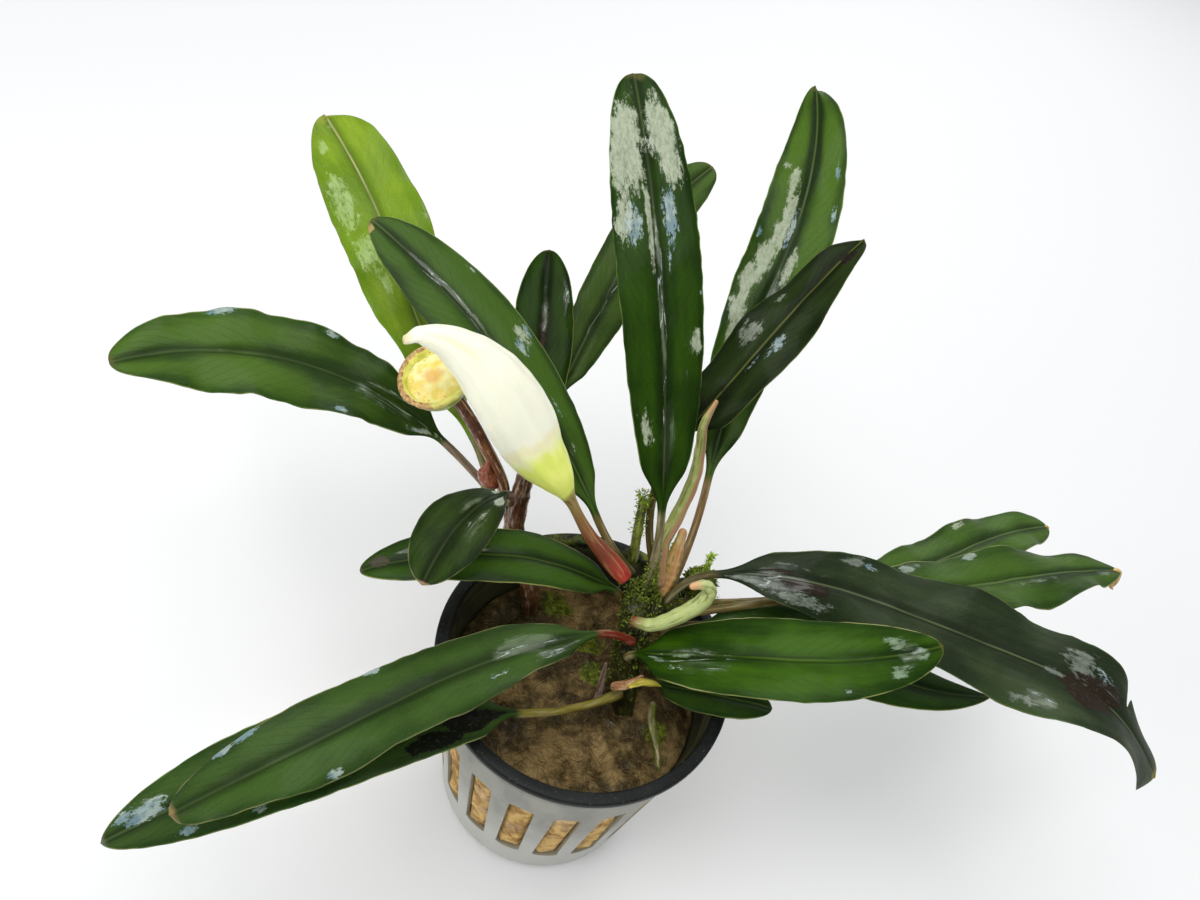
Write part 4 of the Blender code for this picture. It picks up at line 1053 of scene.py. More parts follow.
LEAVES = {
    "leaf_far_left": (dict(
        foot=(-23.9, 16.4, 57.5), aims=((-193, 35), (-182, 30), (-156, 14), (-125, 1)),
        stalk=16, blade=57, width=15.5, fullest=0.59, blunt=0.61, roll=(18, 23, 18),
        ripple=((0.6, 5.0, 0.92), (1.0, 3.3, 0.26)), fold=0.04, marks=dict(
            film=((0.08, -0.55, 0.07, 0.4, 0.8), (0.03, 0.0, 0.04, 0.9, 0.7)),
            frost=((0.71, 0.93, 0.06, 0.18, 1.2), (0.43, 0.9, 0.04, 0.16, 1.15),
                   (0.34, -0.85, 0.05, 0.16, 1.1), (0.09, -0.6, 0.07, 0.3, 1)),
            wet=((0.20, 0.0, 0.18, 0.5, 0.9), (0.72, 0.0, 0.12, 0.3, 0.5)),
            bright=((0.725, 0.35, 0.08, 0.3, 0.9), (0.70, -0.35, 0.10, 0.3, 0.8)),
            shade=((0.20, 0.0, 0.24, 1.6, 0.75),))),
        greens((36, 60, 14), (76, 106, 34), (90, 114, 48), (150, 150, 96), (142, 122, 102),
               Gloss=0.30, Band=0.7, Ribbing=0.2)),
    "leaf_yellow_green": (dict(
        foot=(-26.8, 13.8, 64.0), aims=((121, 25), (146, 17), (138, 25), (150, 15)),
        stalk=10, blade=68, width=16.9, fullest=0.67, blunt=0.67, roll=(-4, 17, 20),
        ripple=((1.3, 3.6, 0.03), (1.3, 4.1, 0.0)), foot_radius=1.3, notch=(-0.4, 0.8), marks=dict(
            film=((0.73, -0.62, 0.15, 0.40, 0.95), (0.57, -0.55, 0.10, 0.35, 1.0),
                  (0.48, -0.38, 0.07, 0.18, 1), (0.92, -0.55, 0.05, 0.30, 0.85),
                  (0.97, 0.0, 0.02, 0.3, 0.7)),
            wet=((0.76, 0.85, 0.05, 0.12, 1), (0.63, 0.92, 0.04, 0.08, 1)),
            bright=((0.9, 0.4, 0.1, 0.6, 0.5),))),
        greens((102, 134, 24), (142, 170, 44), (186, 178, 134), (120, 122, 60), (132, 130, 84),
               film=(164, 190, 112), Gloss=0.28, Ribbing=0.85, Specks=0.04, Band=0.2, Veins=0.1,
               tip=(150, 158, 60))),
    "leaf_behind_spathe": (dict(
        foot=(1.7, 12.2, 60.8), aims=((186, 42), (145, 31), (160, 22), (171, 15)),
        stalk=12, blade=64, width=14.8, fullest=0.58, blunt=0.64, roll=(0, 9, 20), marks=dict(
            film=((0.18, 0.2, 0.05, 0.3, 0.7), (0.51, 0.70, 0.06, 0.28, 0.85)),
            frost=((0.73, 0.85, 0.03, 0.14, 1), (0.52, 0.85, 0.06, 0.2, 1),
                   (0.49, 0.50, 0.06, 0.25, 1.05), (0.30, 0.4, 0.08, 0.12, 0.95)),
            wet=((0.73, -0.02, 0.19, 0.14, 1.2),), bruise=((0.985, -0.7, 0.015, 0.5, 1),),
            bright=((0.70, 0.35, 0.2, 0.25, 0.5), (0.45, 0.6, 0.15, 0.25, 0.6)))),
        greens((30, 50, 10), (64, 94, 24), (96, 122, 50), (128, 144, 78), (104, 88, 46),
               dry=(176, 150, 96), Band=0.8)),
    "leaf_back_small": (dict(
        foot=(-22.8, 18.4, 70.3), aims=((71, 29), (116, 24), (113, 22), (110, 20)),
        stalk=8, blade=33, width=11.1, fullest=0.50, blunt=0.50, roll=(1, 4, 9), marks=dict(
            wet=((0.70, 0.75, 0.2, 0.2, 0.8), (0.6, 0.0, 0.25, 0.25, 0.7)),
            frost=((0.72, 0.8, 0.12, 0.16, 0.9),), bruise=((0.5, 0.0, 0.30, 0.22, 0.62),))),
        greens((14, 32, 2), (40, 66, 6), (60, 62, 30), (104, 110, 50), (80, 58, 34),
               dry=(50, 36, 26), Band=0.6, sheen=0.04)),
    "leaf_back_long": (dict(
        foot=(-20.2, 19.2, 68.7), aims=((112, 4), (91, 19), (86, 22), (66, 13)),
        stalk=14, blade=63, width=12.0, fullest=0.60, blunt=0.52, roll=(0, -5, -15), marks=dict(
            wet=((0.40, 0.0, 0.25, 0.2, 0.9),), frost=((0.50, -0.6, 0.05, 0.2, 0.8),))),
        greens((38, 56, 16), (74, 100, 38), (100, 118, 56), (110, 116, 66), (84, 62, 38),
               Band=0.6)),
    "leaf_tall_front": (dict(
        foot=(4.7, 9.3, 62.3), aims=((95, 63), (118, 46), (125, 38), (127, 27)),
        stalk=13, blade=75, width=14.7, fullest=0.57, blunt=0.46, roll=(4, 12, 20),
        notch=(0.45, 0.9), marks=dict(
            film=((0.83, -0.60, 0.16, 0.65, 1.2), (0.86, 0.50, 0.11, 0.50, 1.25),
                  (0.78, 0.55, 0.08, 0.42, 1.1), (0.65, -0.13, 0.15, 0.10, 1.1),
                  (0.66, -0.70, 0.09, 0.34, 1.0), (0.19, -0.6, 0.07, 0.28, 0.95),
                  (0.38, 0.82, 0.045, 0.18, 1.05)),
            frost=((0.65, -0.50, 0.09, 0.40, 1.1), (0.66, 0.35, 0.12, 0.28, 1.15),
                   (0.57, 0.22, 0.07, 0.06, 1.05), (0.60, 0.58, 0.07, 0.08, 0.95),
                   (0.84, 0.1, 0.09, 0.4, 0.75), (0.49, 0.92, 0.015, 0.08, 1)),
            wet=((0.17, 0.1, 0.12, 0.3, 1), (0.45, 0.0, 0.30, 0.10, 1),
                 (0.35, 0.55, 0.2, 0.3, 0.55)))),
        greens((18, 38, 2), (42, 72, 4), (86, 106, 40), (124, 140, 74), (112, 104, 72),
               Band=0.45, Specks=0.15, Gloss=0.26, sheen=0.05)),
    "leaf_right_rear": (dict(
        foot=(8.8, 12.4, 60.4), aims=((86, 32), (101, 32), (88, 36), (113, 15)),
        stalk=20, blade=82, width=14.6, fullest=0.56, blunt=0.59, roll=(-4, 0, 26),
        ripple=((1.1, 3.7, -0.05), (-1.4, 2.65, 0.9)), notch=(0.5, 0.8), marks=dict(
            film=((0.755, -0.72, 0.02, 0.14, 1), (0.71, -0.42, 0.07, 0.20, 1.1),
                  (0.64, -0.27, 0.08, 0.20, 1.15), (0.58, -0.33, 0.06, 0.25, 1.15),
                  (0.52, -0.45, 0.06, 0.32, 1.15), (0.46, -0.62, 0.06, 0.36, 1.15),
                  (0.39, -0.65, 0.06, 0.32, 1.15), (0.33, -0.6, 0.05, 0.25, 0.95),
                  (0.51, 0.20, 0.07, 0.16, 1.1)),
            frost=((0.60, -0.10, 0.09, 0.14, 1.1), (0.57, -0.85, 0.03, 0.14, 1.1),
                   (0.77, 0.75, 0.035, 0.14, 1.2), (0.66, 0.82, 0.04, 0.12, 1.2)),
            bright=((0.81, 0.45, 0.13, 0.35, 1.0), (0.82, -0.5, 0.09, 0.35, 0.8),
                    (0.58, 0.50, 0.10, 0.30, 1.0)),
            shade=((0.83, 0.04, 0.12, 0.20, 1.0),),
            wet=((0.35, 0.05, 0.2, 0.2, 1),))),
        greens((24, 46, 5), (74, 106, 26), (106, 130, 54), (128, 142, 74), (132, 104, 66),
               Band=0.5)),
    "leaf_right_front": (dict(
        foot=(5.6, 14.2, 60.6), aims=((149, 45), (64, 44), (67, 37), (63, 28)),
        stalk=26, blade=46, width=11.6, fullest=0.40, blunt=0.46, roll=(-3, 3, 10),
        ripple=((1.4, 1.8, 0.77), (-1.2, 2.6, 0.51)), marks=dict(
            film=((0.45, -0.50, 0.09, 0.4, 0.95), (0.62, -0.6, 0.06, 0.2, 0.75)),
            frost=((0.47, 0.35, 0.10, 0.3, 1), (0.36, 0.15, 0.09, 0.12, 0.9)),
            bruise=((0.90, 0.2, 0.08, 0.6, 0.62), (0.15, 0.0, 0.16, 0.9, 0.45)),
            bright=((0.36, -0.15, 0.16, 0.14, 1),))),
        greens((14, 24, 4), (40, 56, 18), (122, 128, 52), (90, 96, 48), (96, 84, 48),
               Specks=0.6, film=(132, 138, 122), dry=(30, 24, 16), tip=(78, 68, 44), Band=0.4,
               Gloss=0.30, sheen=0.06)),
    "leaf_east_far": (dict(
        foot=(8.4, 11.9, 57.0), aims=((22, 2), (40, 1), (51, -1), (41, -13)),
        stalk=38, blade=55, width=12.2, fullest=0.50, blunt=0.45, roll=(2, 6, 0),
        ripple=((1.6, 3.5, 0.46), (-1.0, 3.0, -0.92)), marks=dict(
            bright=((0.5, 0.4, 0.3, 0.3, 0.5),), film=((0.55, -0.80, 0.04, 0.2, 1.05),)),
        tip_calm=0.7),
        greens((34, 58, 12), (72, 102, 34), (108, 130, 64), (150, 150, 100), (116, 98, 52),
               tip=(150, 126, 70), Band=0.6)),
    "leaf_east_middle": (dict(
        foot=(9.2, 7.6, 58.2), aims=((34, 8), (26, 7), (36, 2), (36, -14)),
        stalk=37, blade=59, width=14.1, fullest=0.42, blunt=0.53, roll=(-3, 3, 13),
        ripple=((-2.0, 3.3, -0.75), (-1.4, 2.5, 0.45)), marks=dict(
            film=((0.41, -0.84, 0.035, 0.16, 1.05), (0.17, -0.75, 0.05, 0.25, 1.0)),
            wet=((0.60, 0.25, 0.14, 0.3, 0.7), (0.90, 0.2, 0.07, 0.4, 0.8)),
            bright=((0.45, 0.0, 0.25, 0.4, 0.6), (0.80, -0.5, 0.10, 0.3, 0.9)),
            shade=((0.75, 0.15, 0.16, 0.16, 0.9),)), tip_calm=1.0),
        greens((34, 58, 12), (68, 98, 30), (112, 134, 70), (150, 146, 96), (112, 98, 54),
               film=(146, 158, 146), tip=(150, 126, 70), Band=0.5)),
    "leaf_east_dark": (dict(
        foot=(8.8, 9.4, 60.6), aims=((68, 54), (24, 10), (1, 2), (-2, 4), (-21, -46)),
        stalk=10, blade=86, width=17.2, fullest=0.66, blunt=0.43, roll=(-31, -18, 12),
        ripple=((-2.3, 2.65, 1.57), (-1.7, 3.7, -1.16)), tear=(0.857, 0.012, 0.5, -1), marks=dict(
            film=((0.685, 0.0, 0.035, 0.12, 1.0), (0.735, -0.45, 0.05, 0.45, 1.0),
                  (0.08, 0.35, 0.09, 0.5, 1.0), (0.17, 0.62, 0.11, 0.30, 1.0),
                  (0.11, -0.15, 0.09, 0.12, 0.85), (0.265, -0.78, 0.04, 0.2, 1.0),
                  (0.64, 0.78, 0.05, 0.2, 0.85)),
            frost=((0.78, -0.5, 0.05, 0.3, 0.9), (0.30, -0.75, 0.03, 0.2, 1.0),
                   (0.14, 0.45, 0.08, 0.3, 0.8)),
            wet=((0.13, 0.1, 0.12, 0.9, 0.9), (0.675, 0.7, 0.05, 0.25, 0.8),
                 (0.80, -0.3, 0.05, 0.4, 0.7)),
            bruise=((0.19, 0.22, 0.06, 0.22, 1.1), (0.13, -0.2, 0.05, 0.2, 0.9),
                    (0.76, 0.05, 0.06, 0.42, 1.35), (0.80, -0.20, 0.04, 0.3, 1.0)),
            bright=((0.675, 0.75, 0.06, 0.2, 0.9), (0.985, 0, 0.02, 1, 0.8)),
            shade=((0.80, -0.2, 0.08, 0.7, 0.7),))),
        greens((26, 38, 16), (58, 72, 42), (104, 114, 76), (100, 104, 66), (84, 76, 44),
               film=(122, 130, 118), dry=(36, 24, 12), tip=(150, 136, 60), Band=0.2,
               Veins=0.06, Ribbing=0.6,
               Gloss=0.42, sheen=0.12)),
    "leaf_front_right": (dict(
        foot=(6.5, 1.2, 52.8), aims=((7, 80), (-4, 46), (14, 15), (40, 3)),
        stalk=2, blade=53, width=14.6, fullest=0.48, blunt=0.54, roll=(-9, -6, -11), marks=dict(
            film=((0.09, 0.25, 0.05, 0.20, 0.8), (0.17, 0.02, 0.10, 0.13, 0.85),
                  (0.85, -0.35, 0.06, 0.35, 0.95), (0.83, 0.55, 0.06, 0.3, 0.9),
                  (0.92, 0.1, 0.05, 0.5, 0.95)),
            frost=((0.16, 0.45, 0.10, 0.3, 0.8), (0.90, 0.0, 0.05, 0.7, 0.8),
                   (0.66, 0.75, 0.03, 0.2, 0.8)),
            wet=((0.2, 0.2, 0.2, 0.5, 0.9), (0.88, 0.0, 0.06, 0.8, 0.9)),
            bright=((0.58, -0.15, 0.16, 0.5, 0.9), (0.6, 0.5, 0.15, 0.4, 0.5)))),
        greens((22, 46, 3), (58, 94, 10), (96, 120, 36), (166, 164, 104), (110, 96, 52),
               film=(136, 156, 128), Gloss=0.26, Band=0.3, Ribbing=0.3, sheen=0.06)),
    "leaf_east_under": (dict(
        foot=(9.9, 6.9, 55.5), aims=((47, -2), (19, 16), (2, -10), (27, -2)),
        stalk=7, blade=56, width=13.1, fullest=0.40, blunt=0.66, roll=(-10, -5, 9), marks=dict(
            frost=((0.3, 0.1, 0.08, 0.3, 0.9),), wet=((0.25, 0.0, 0.15, 0.6, 0.9),))),
        greens((26, 48, 10), (50, 80, 22), (96, 116, 50), (130, 132, 74), (96, 80, 44))),
    "leaf_front_under": (dict(
        foot=(11.2, 1.2, 47.2), aims=((-10, 50), (-4, 34), (4, 16), (10, 0)),
        stalk=3, blade=20, width=8.0, fullest=0.50, blunt=0.55, roll=(-6, -4, 0)),
        greens((30, 54, 12), (58, 88, 24), (96, 116, 50), (150, 152, 84), (96, 80, 44))),
    "leaf_west_upper": (dict(
        foot=(6.2, 2.5, 56.0), aims=((-161, 36), (-134, 21), (-127, -4), (-132, -17)),
        stalk=8, blade=69, width=12.9, fullest=0.58, blunt=0.59, roll=(0, 0, 4),
        ripple=((0.8, 1.5, 1.04), (-1.2, 3.1, 0.09)), foot_radius=0.9, marks=dict(
            frost=((0.82, 0.95, 0.04, 0.18, 1.2), (0.87, 0.95, 0.04, 0.2, 1.2),
                   (0.54, 0.95, 0.035, 0.16, 1.15), (0.69, -0.85, 0.035, 0.18, 1.15),
                   (0.30, -0.5, 0.05, 0.2, 0.95), (0.16, -0.65, 0.07, 0.15, 1.0)),
            film=((0.16, -0.55, 0.07, 0.10, 0.9),),
            wet=((0.20, 0.15, 0.12, 0.45, 1.1), (0.13, -0.5, 0.10, 0.3, 1)),
            bright=((0.78, -0.2, 0.16, 0.5, 0.6), (0.72, 0.5, 0.15, 0.3, 0.4)),
            shade=((0.62, 0.05, 0.22, 0.16, 0.7),))),
        greens((34, 54, 16), (62, 90, 32), (76, 98, 46), (120, 118, 76), (112, 40, 24),
               tip=(150, 128, 84), Gloss=0.36, Band=0.45, Veins=0.04, Ribbing=0.3)),
    "leaf_west_lower": (dict(
        foot=(7.8, -1.8, 46.0), aims=((-123, 18), (-147, 16), (-136, -5), (-132, -20)),
        stalk=21, blade=63, width=14.2, fullest=0.51, blunt=0.62, roll=(-4, 5, 12),
        foot_radius=1.0, marks=dict(
            film=((0.90, 0.45, 0.06, 0.30, 0.9),),
            frost=((0.89, 0.25, 0.08, 0.5, 1.15), (0.94, 0.6, 0.05, 0.45, 1.1),
                   (0.82, -0.75, 0.04, 0.22, 1.1), (0.66, -0.8, 0.03, 0.18, 1.0)),
            bruise=((0.14, -0.18, 0.09, 0.50, 1.25), (0.24, -0.62, 0.08, 0.30, 1.15),
                    (0.06, -0.1, 0.04, 0.3, 0.9)))),
        greens((34, 54, 16), (62, 90, 32), (88, 108, 54), (134, 140, 84), (132, 120, 50),
               dry=(14, 12, 8), tip=(110, 116, 100), Gloss=0.34, film=(160, 170, 160), Band=0.4)),
    "leaf_round": (dict(
        foot=(-22.2, 12.8, 64.5), aims=((-77, 80), (-107, 39), (-96, 16), (-84, -1)),
        stalk=8, blade=29, width=10.8, fullest=0.60, blunt=0.70, roll=(0, 4, 5), marks=dict(
            film=((0.16, -0.50, 0.12, 0.35, 1.1), (0.08, 0.5, 0.05, 0.3, 0.9),
                  (0.36, -0.42, 0.10, 0.14, 0.9)),
            wet=((0.3, 0.3, 0.3, 0.4, 0.7), (0.45, -0.4, 0.3, 0.3, 0.8)),
            bruise=((0.985, 0.0, 0.015, 0.4, 0.8),))),
        greens((18, 32, 6), (52, 74, 24), (66, 84, 38), (116, 116, 78), (100, 70, 44),
               film=(196, 204, 190), tip=(176, 150, 116), Veins=0.25, Band=0.4, sheen=0.06)),
    "leaf_west_small": (dict(
        foot=(1.3, 7.7, 59.2), aims=((-164, 80), (-167, 30), (-154, 3), (-141, -14)),
        stalk=2, blade=44, width=10.4, fullest=0.51, blunt=0.54, roll=(6, 3, 3), marks=dict(
            wet=((0.62, 0.15, 0.12, 0.12, 1.1), (0.82, 0.4, 0.08, 0.12, 1)),
            bright=((0.45, -0.4, 0.25, 0.35, 0.6),),
            bruise=((0.93, 0.2, 0.06, 0.6, 0.75),), shade=((0.25, 0.0, 0.25, 0.25, 0.7),))),
        greens((24, 44, 6), (54, 84, 18), (80, 100, 38), (150, 148, 86), (90, 78, 44),
               dry=(70, 66, 50), tip=(84, 78, 60), Band=0.5)),
}
for number, (node, (shape, (sheen, colours))) in enumerate(LEAVES.items()):
    rings, values = leaf_skin(seed=0.37 * number, **shape)
    piece = make_piece(node.replace("leaf_", "blade_"), *closed_rows(rings), values)
    finish = finish_from(
        leaf_surface, node.replace("leaf_", "green_"), {"Seed": 7.3 * number, **colours}, 0.14,
        Specular_IOR_Level=sheen, Coat_Roughness=0.10, Subsurface_Weight=0.10,
        Subsurface_Radius=(0.4, 1.0, 0.2), Subsurface_Scale=0.0008)
    settle(piece, finish, node)


# The dry tips of two leaves on the right. Each has died back to a thin tan curl that hangs
# from the end of the blade.
def curl_path(node, bends):
    """A path from inside a leaf's end through the bends, which are steps in millimetres from
    the end and the strip's radius."""
    shape = LEAVES[node][0]
    end = leaf_walk(shape["foot"], shape["aims"], shape["stalk"], shape["blade"])[1][-1]
    return [(*(end + step), radius) for *step, radius in bends]


def scale_swell(middle, share, turn):
    """A dry scale's radius: creased lengthwise, and ragged."""
    return (0.80 + 0.10 * np.cos(5 * turn + 3 * share) + 0.06 * np.cos(11 * turn)
            + 0.14 * lumps(middle, 1.0, 71))


tan_dry = bark("tip_dry", (160, 122, 66), (216, 180, 112), (244, 222, 168), 0.6, 0.1, 0.08)
for node, bends in (
        ("leaf_east_middle", ((-1.1, -0.7, 0.0, 0.5), (-0.3, -0.3, -0.2, 0.85),
                              (0.0, -0.8, -0.8, 0.85), (0.1, -1.5, -1.9, 0.75),
                              (0.1, -2.0, -2.9, 0.50), (0.7, -2.2, -3.2, 0.12))),
        ("leaf_east_far", ((-0.8, -0.5, 0.0, 0.4), (-0.1, -0.1, -0.2, 0.55),
                           (0.0, -0.6, -0.9, 0.50), (-0.2, -1.1, -1.6, 0.2)))):
    round_piece(node.replace("leaf_", "curl_"), curl_path(node, bends), 16, scale_swell, tan_dry,
                node, steps=12)


# The two young leaves. One is still rolled into an upright spike, one edge lapped over the
# other, and the other hooks over as it opens. A papery brown sheath stands beside the first.
ROLLED_LEAF = ((6.6, 11.4, 62.9, 1.2), (4.4, 15.3, 67.0, 1.5), (4.9, 19.2, 70.5, 1.3),
               (5.1, 23.8, 76.0, 1.2), (4.1, 26.1, 81.0, 1.0), (3.0, 27.0, 86.0, 0.8),
               (3.4, 28.8, 90.0, 0.35))
CURLED_LEAF = ((5.3, 3.9, 59.7, 1.0), (8.2, 3.5, 61.5, 1.2), (11.3, 4.6, 65.0, 1.4),
               (13.7, 6.5, 68.0, 1.5), (14.3, 7.7, 70.6, 1.3), (12.9, 7.2, 72.2, 1.0),
               (11.3, 5.9, 72.5, 0.6))
CROWN_SHEATH = ((7.4, 11.0, 60.6, 1.5), (7.6, 12.6, 63.4, 1.6), (7.2, 14.8, 66.6, 1.35),
                (6.9, 17.6, 69.6, 0.8))
YOUNG_COLOURS = ("Foot", "High", "Lines", "Edge", "Tip")


def rolled_swell(start, drift):
    """A rolled blade's radius: it shrinks by a fifth once around and steps back out at the
    lapping edge, and that edge drifts around the spike from foot to tip."""
    def swell(middle, share, turn):
        past = (turn - start - drift * share) / (2 * math.pi) % 1
        lap = 1 - 0.20 * past + 0.20 * smoothly(0.965, 1.0, past)
        return lap * (1 + 0.05 * lumps(middle, 1.8, 41) + 0.03 * np.sin(60 * share))
    return swell


def rolled_marks(rings, start, drift):
    """A round stem's marks, and lap, which is 1 at the lapping edge."""
    rows, columns = rings.shape[:2]
    share = np.linspace(0, 1, rows)[:, None]
    past = (whole_turn(columns)[None, :] - start - drift * share) / (2 * math.pi) % 1
    return {**round_marks(rings), "lap": with_ends(smoothly(0.86, 0.98, past))}


def young_look():
    """A young leaf's skin: its foot's colour clears to pale green, with darker and lighter
    lines along it, a warm edge where it laps, and a warm tip."""
    look, given, result = shared_look(
        "young_leaf", **dict.fromkeys(YOUNG_COLOURS, paint(0, 0, 0)))
    place = object_place(look)
    share, lap = mark(look, "share"), mark(look, "lap")
    middle = cloud(place, 380, 4, 0.6)
    fine = cloud(place, 1900, 3, 0.6)
    lines = cloud(unrolled(look), 2.2, 3, 0.6, (1, 1, 0.06))
    start = weighed(0.0, (share, 1.0), (middle, 0.08))
    colour = laid(given["Foot"], given["High"], start, 0.06, 0.24)
    colour = laid(colour, paint(206, 212, 150), middle, 0.45, 0.7, 0.35)
    colour = laid(colour, given["Lines"], lines, 0.47, 0.38, 0.75)
    colour = mix_colours(both(lap, ease(middle, 0.3, 0.6, 0.5, 0.95)), colour, given["Edge"])
    colour = laid(colour, given["Tip"], start, 0.93, 1.02, 0.95)
    colour = laid(colour, paint(70, 66, 26), fine, 0.64, 0.76, 0.3)
    return put_out(result, colour, ease(middle, 0.3, 0.7, 0.3, 0.5),
                   ease(middle, 0.4, 0.6, 0.1, 0.6), weighed(0.0, (lines, 1.0), (fine, 0.4)))


young_surface = young_look()
for name, path, node, start, drift, colours in (
        ("spike_rolled", ROLLED_LEAF, "rolled_leaf", 5.6, 0.9, (
            (132, 112, 60), (150, 156, 84), (92, 98, 40), (176, 112, 92), (190, 142, 100))),
        ("hook_curled", CURLED_LEAF, "curled_leaf", 2.2, 1.6, (
            (122, 64, 40), (184, 196, 124), (120, 130, 62), (198, 200, 140), (222, 168, 122))),
        ("sheath_crown", CROWN_SHEATH, "leaf_right_rear", 5.2, 0.4, (
            (112, 92, 46), (162, 128, 66), (112, 80, 38), (190, 136, 92), (176, 130, 80)))):
    rings = round_rings(smooth_path(path, 18), 44, rolled_swell(start, drift))
    piece = make_piece(name, *closed_rows(rings), rolled_marks(rings, start, drift))
    skin = {place: paint(*colour) for place, colour in zip(YOUNG_COLOURS, colours)}
    finish = finish_from(
        young_surface, name + "_skin", skin, 0.12, Specular_IOR_Level=0.3, Coat_Roughness=0.1,
        Subsurface_Weight=0.15, Subsurface_Radius=(0.6, 1.0, 0.3), Subsurface_Scale=0.001)
    settle(piece, finish, node)


# The flower. A red-brown stalk with a swollen foot widens into the spathe, a waxy cream hood
# folded like a boat, one margin lapped over the other and its tip drawn out and hooked.
SPATHE = ((1.0, 8.5, 63.6, 1.3, 1.3), (-1.6, 8.9, 65.3, 1.6, 1.6), (-7.2, 9.5, 69.4, 1.1, 1.1),
          (-12.0, 10.4, 74.6, 1.0, 1.0), (-15.2, 11.2, 77.6, 3.0, 2.5),
          (-19.7, 12.3, 80.7, 5.1, 3.6), (-23.8, 13.5, 84.5, 6.3, 4.0),
          (-28.2, 14.3, 88.6, 6.2, 3.6), (-32.8, 14.4, 91.9, 5.1, 2.9),
          (-37.4, 13.2, 94.6, 3.4, 2.1), (-40.8, 11.0, 96.2, 1.8, 1.2),
          (-42.6, 9.5, 96.8, 0.7, 0.6))
SPATHE_KEEL = 0.25
SPATHE_SEAM = 1.95


def spathe_skin():
    """Rings that go from round on the stalk to a keeled oval on the hood, each half width and
    half depth along the path, with shallow lengthwise folds in the hood and a step where the
    upper margin laps over the other."""
    path = smooth_path(SPATHE, 12)
    middle, half, thick = path[:, :3], path[:, 3:4], path[:, 4:5]
    ways = unit(np.gradient(middle, axis=0))
    side = unit(np.cross(ways, [0, 0, 1]))
    up = np.cross(side, ways)
    turn = whole_turn(80)[None, :]
    share = np.linspace(0, 1, len(path))[:, None]
    hood = np.clip((half - 1.2) / 3.0, 0, 1) * smoothly(0.25, 0.4, share)
    past = (turn - SPATHE_SEAM - 0.5 * (share - 0.6)) / (2 * math.pi) % 1
    lap = 1 + 0.07 * hood * smoothly(0.90, 1.0, past) - 0.03 * hood * past
    lines = 0.035 * np.cos(9 * turn + 2.0) * hood
    across = half * np.cos(turn) * (1 + 0.5 * lines) * lap
    depth = thick * np.sin(turn) * (1 + lines) * lap
    depth = np.where(depth < 0, depth * (1 + SPATHE_KEEL * hood), depth)
    rings = middle[:, None] + side[:, None] * across[..., None] + up[:, None] * depth[..., None]
    rings = rings + 0.10 * hood[..., None] * lumps(rings, 2.4, 51)[..., None]
    hook = smoothly(0.93, 1.0, share)[..., None]
    rings = rings + hook * np.array([-0.3, -0.3, -1.1])
    seam = np.maximum(smoothly(0.93, 1.0, past), smoothly(0.03, 0.0, past)) * hood
    return rings, {**round_marks(rings), "row": with_ends(share + 0 * turn),
                   "lap": with_ends(seam)}


def waxy_flower():
    """A red foot, a red-brown stalk lined with olive, then pale yellow-green that clears to
    warm cream along the hood, past a faint peach edge; the margin and the tip are tanned."""
    made, tree = new_material("flower_wax")
    place = object_place(tree)
    along, lap = mark(tree, "row"), mark(tree, "lap")
    middle = cloud(place, 300, 4, 0.55)
    fine = cloud(place, 1600, 3, 0.6)
    lines = cloud(unrolled(tree), 1.6, 3, 0.6, (1, 1, 0.07))
    broad_lines = cloud(unrolled(tree), 0.5, 2, 0.5, (1, 1, 0.15))
    run = weighed(-0.03, (along, 1.0), (middle, 0.06))
    red = laid(paint(172, 52, 40), paint(122, 60, 36), run, 0.05, 0.15)
    stalk = laid(red, paint(142, 124, 70), run, 0.16, 0.28)
    stalk = laid(stalk, paint(172, 140, 92), lines, 0.53, 0.66, 0.6)
    stalk = laid(stalk, paint(84, 38, 22), lines, 0.46, 0.34, 0.7)
    low = laid(paint(228, 240, 112), paint(240, 246, 132), broad_lines, 0.35, 0.65)
    edge = weighed(-0.02, (run, 1.0), (broad_lines, 0.04))
    hood = laid(low, paint(255, 254, 228), edge, 0.425, 0.5)
    peach = both(ease(edge, 0.465, 0.48), ease(edge, 0.51, 0.49))
    hood = mix_colours(sums("MULTIPLY", peach, 0.45), hood, paint(250, 230, 170))
    hood = mix_colours(both(lap, ease(run, 0.7, 0.85, 0, 0.6)), hood, paint(240, 216, 150))
    colour = laid(stalk, hood, run, 0.28, 0.315)
    colour = laid(colour, paint(232, 204, 140), run, 0.955, 1.0, 0.8)
    return surfaced(made, {
        "Base Color": colour, "Roughness": ease(middle, 0.3, 0.7, 0.32, 0.48),
        "Specular IOR Level": 0.35, "Subsurface Weight": 0.4,
        "Subsurface Radius": (1.0, 0.8, 0.45), "Subsurface Scale": 0.0026,
        "Normal": bumped(weighed(0.0, (fine, 0.3), (middle, 0.6), (lines, 0.9)), 0.08)})


rings, values = spathe_skin()
flower = make_piece("flower_spathe", *closed_rows(rings), values)
settle(flower, waxy_flower(), "spathe")


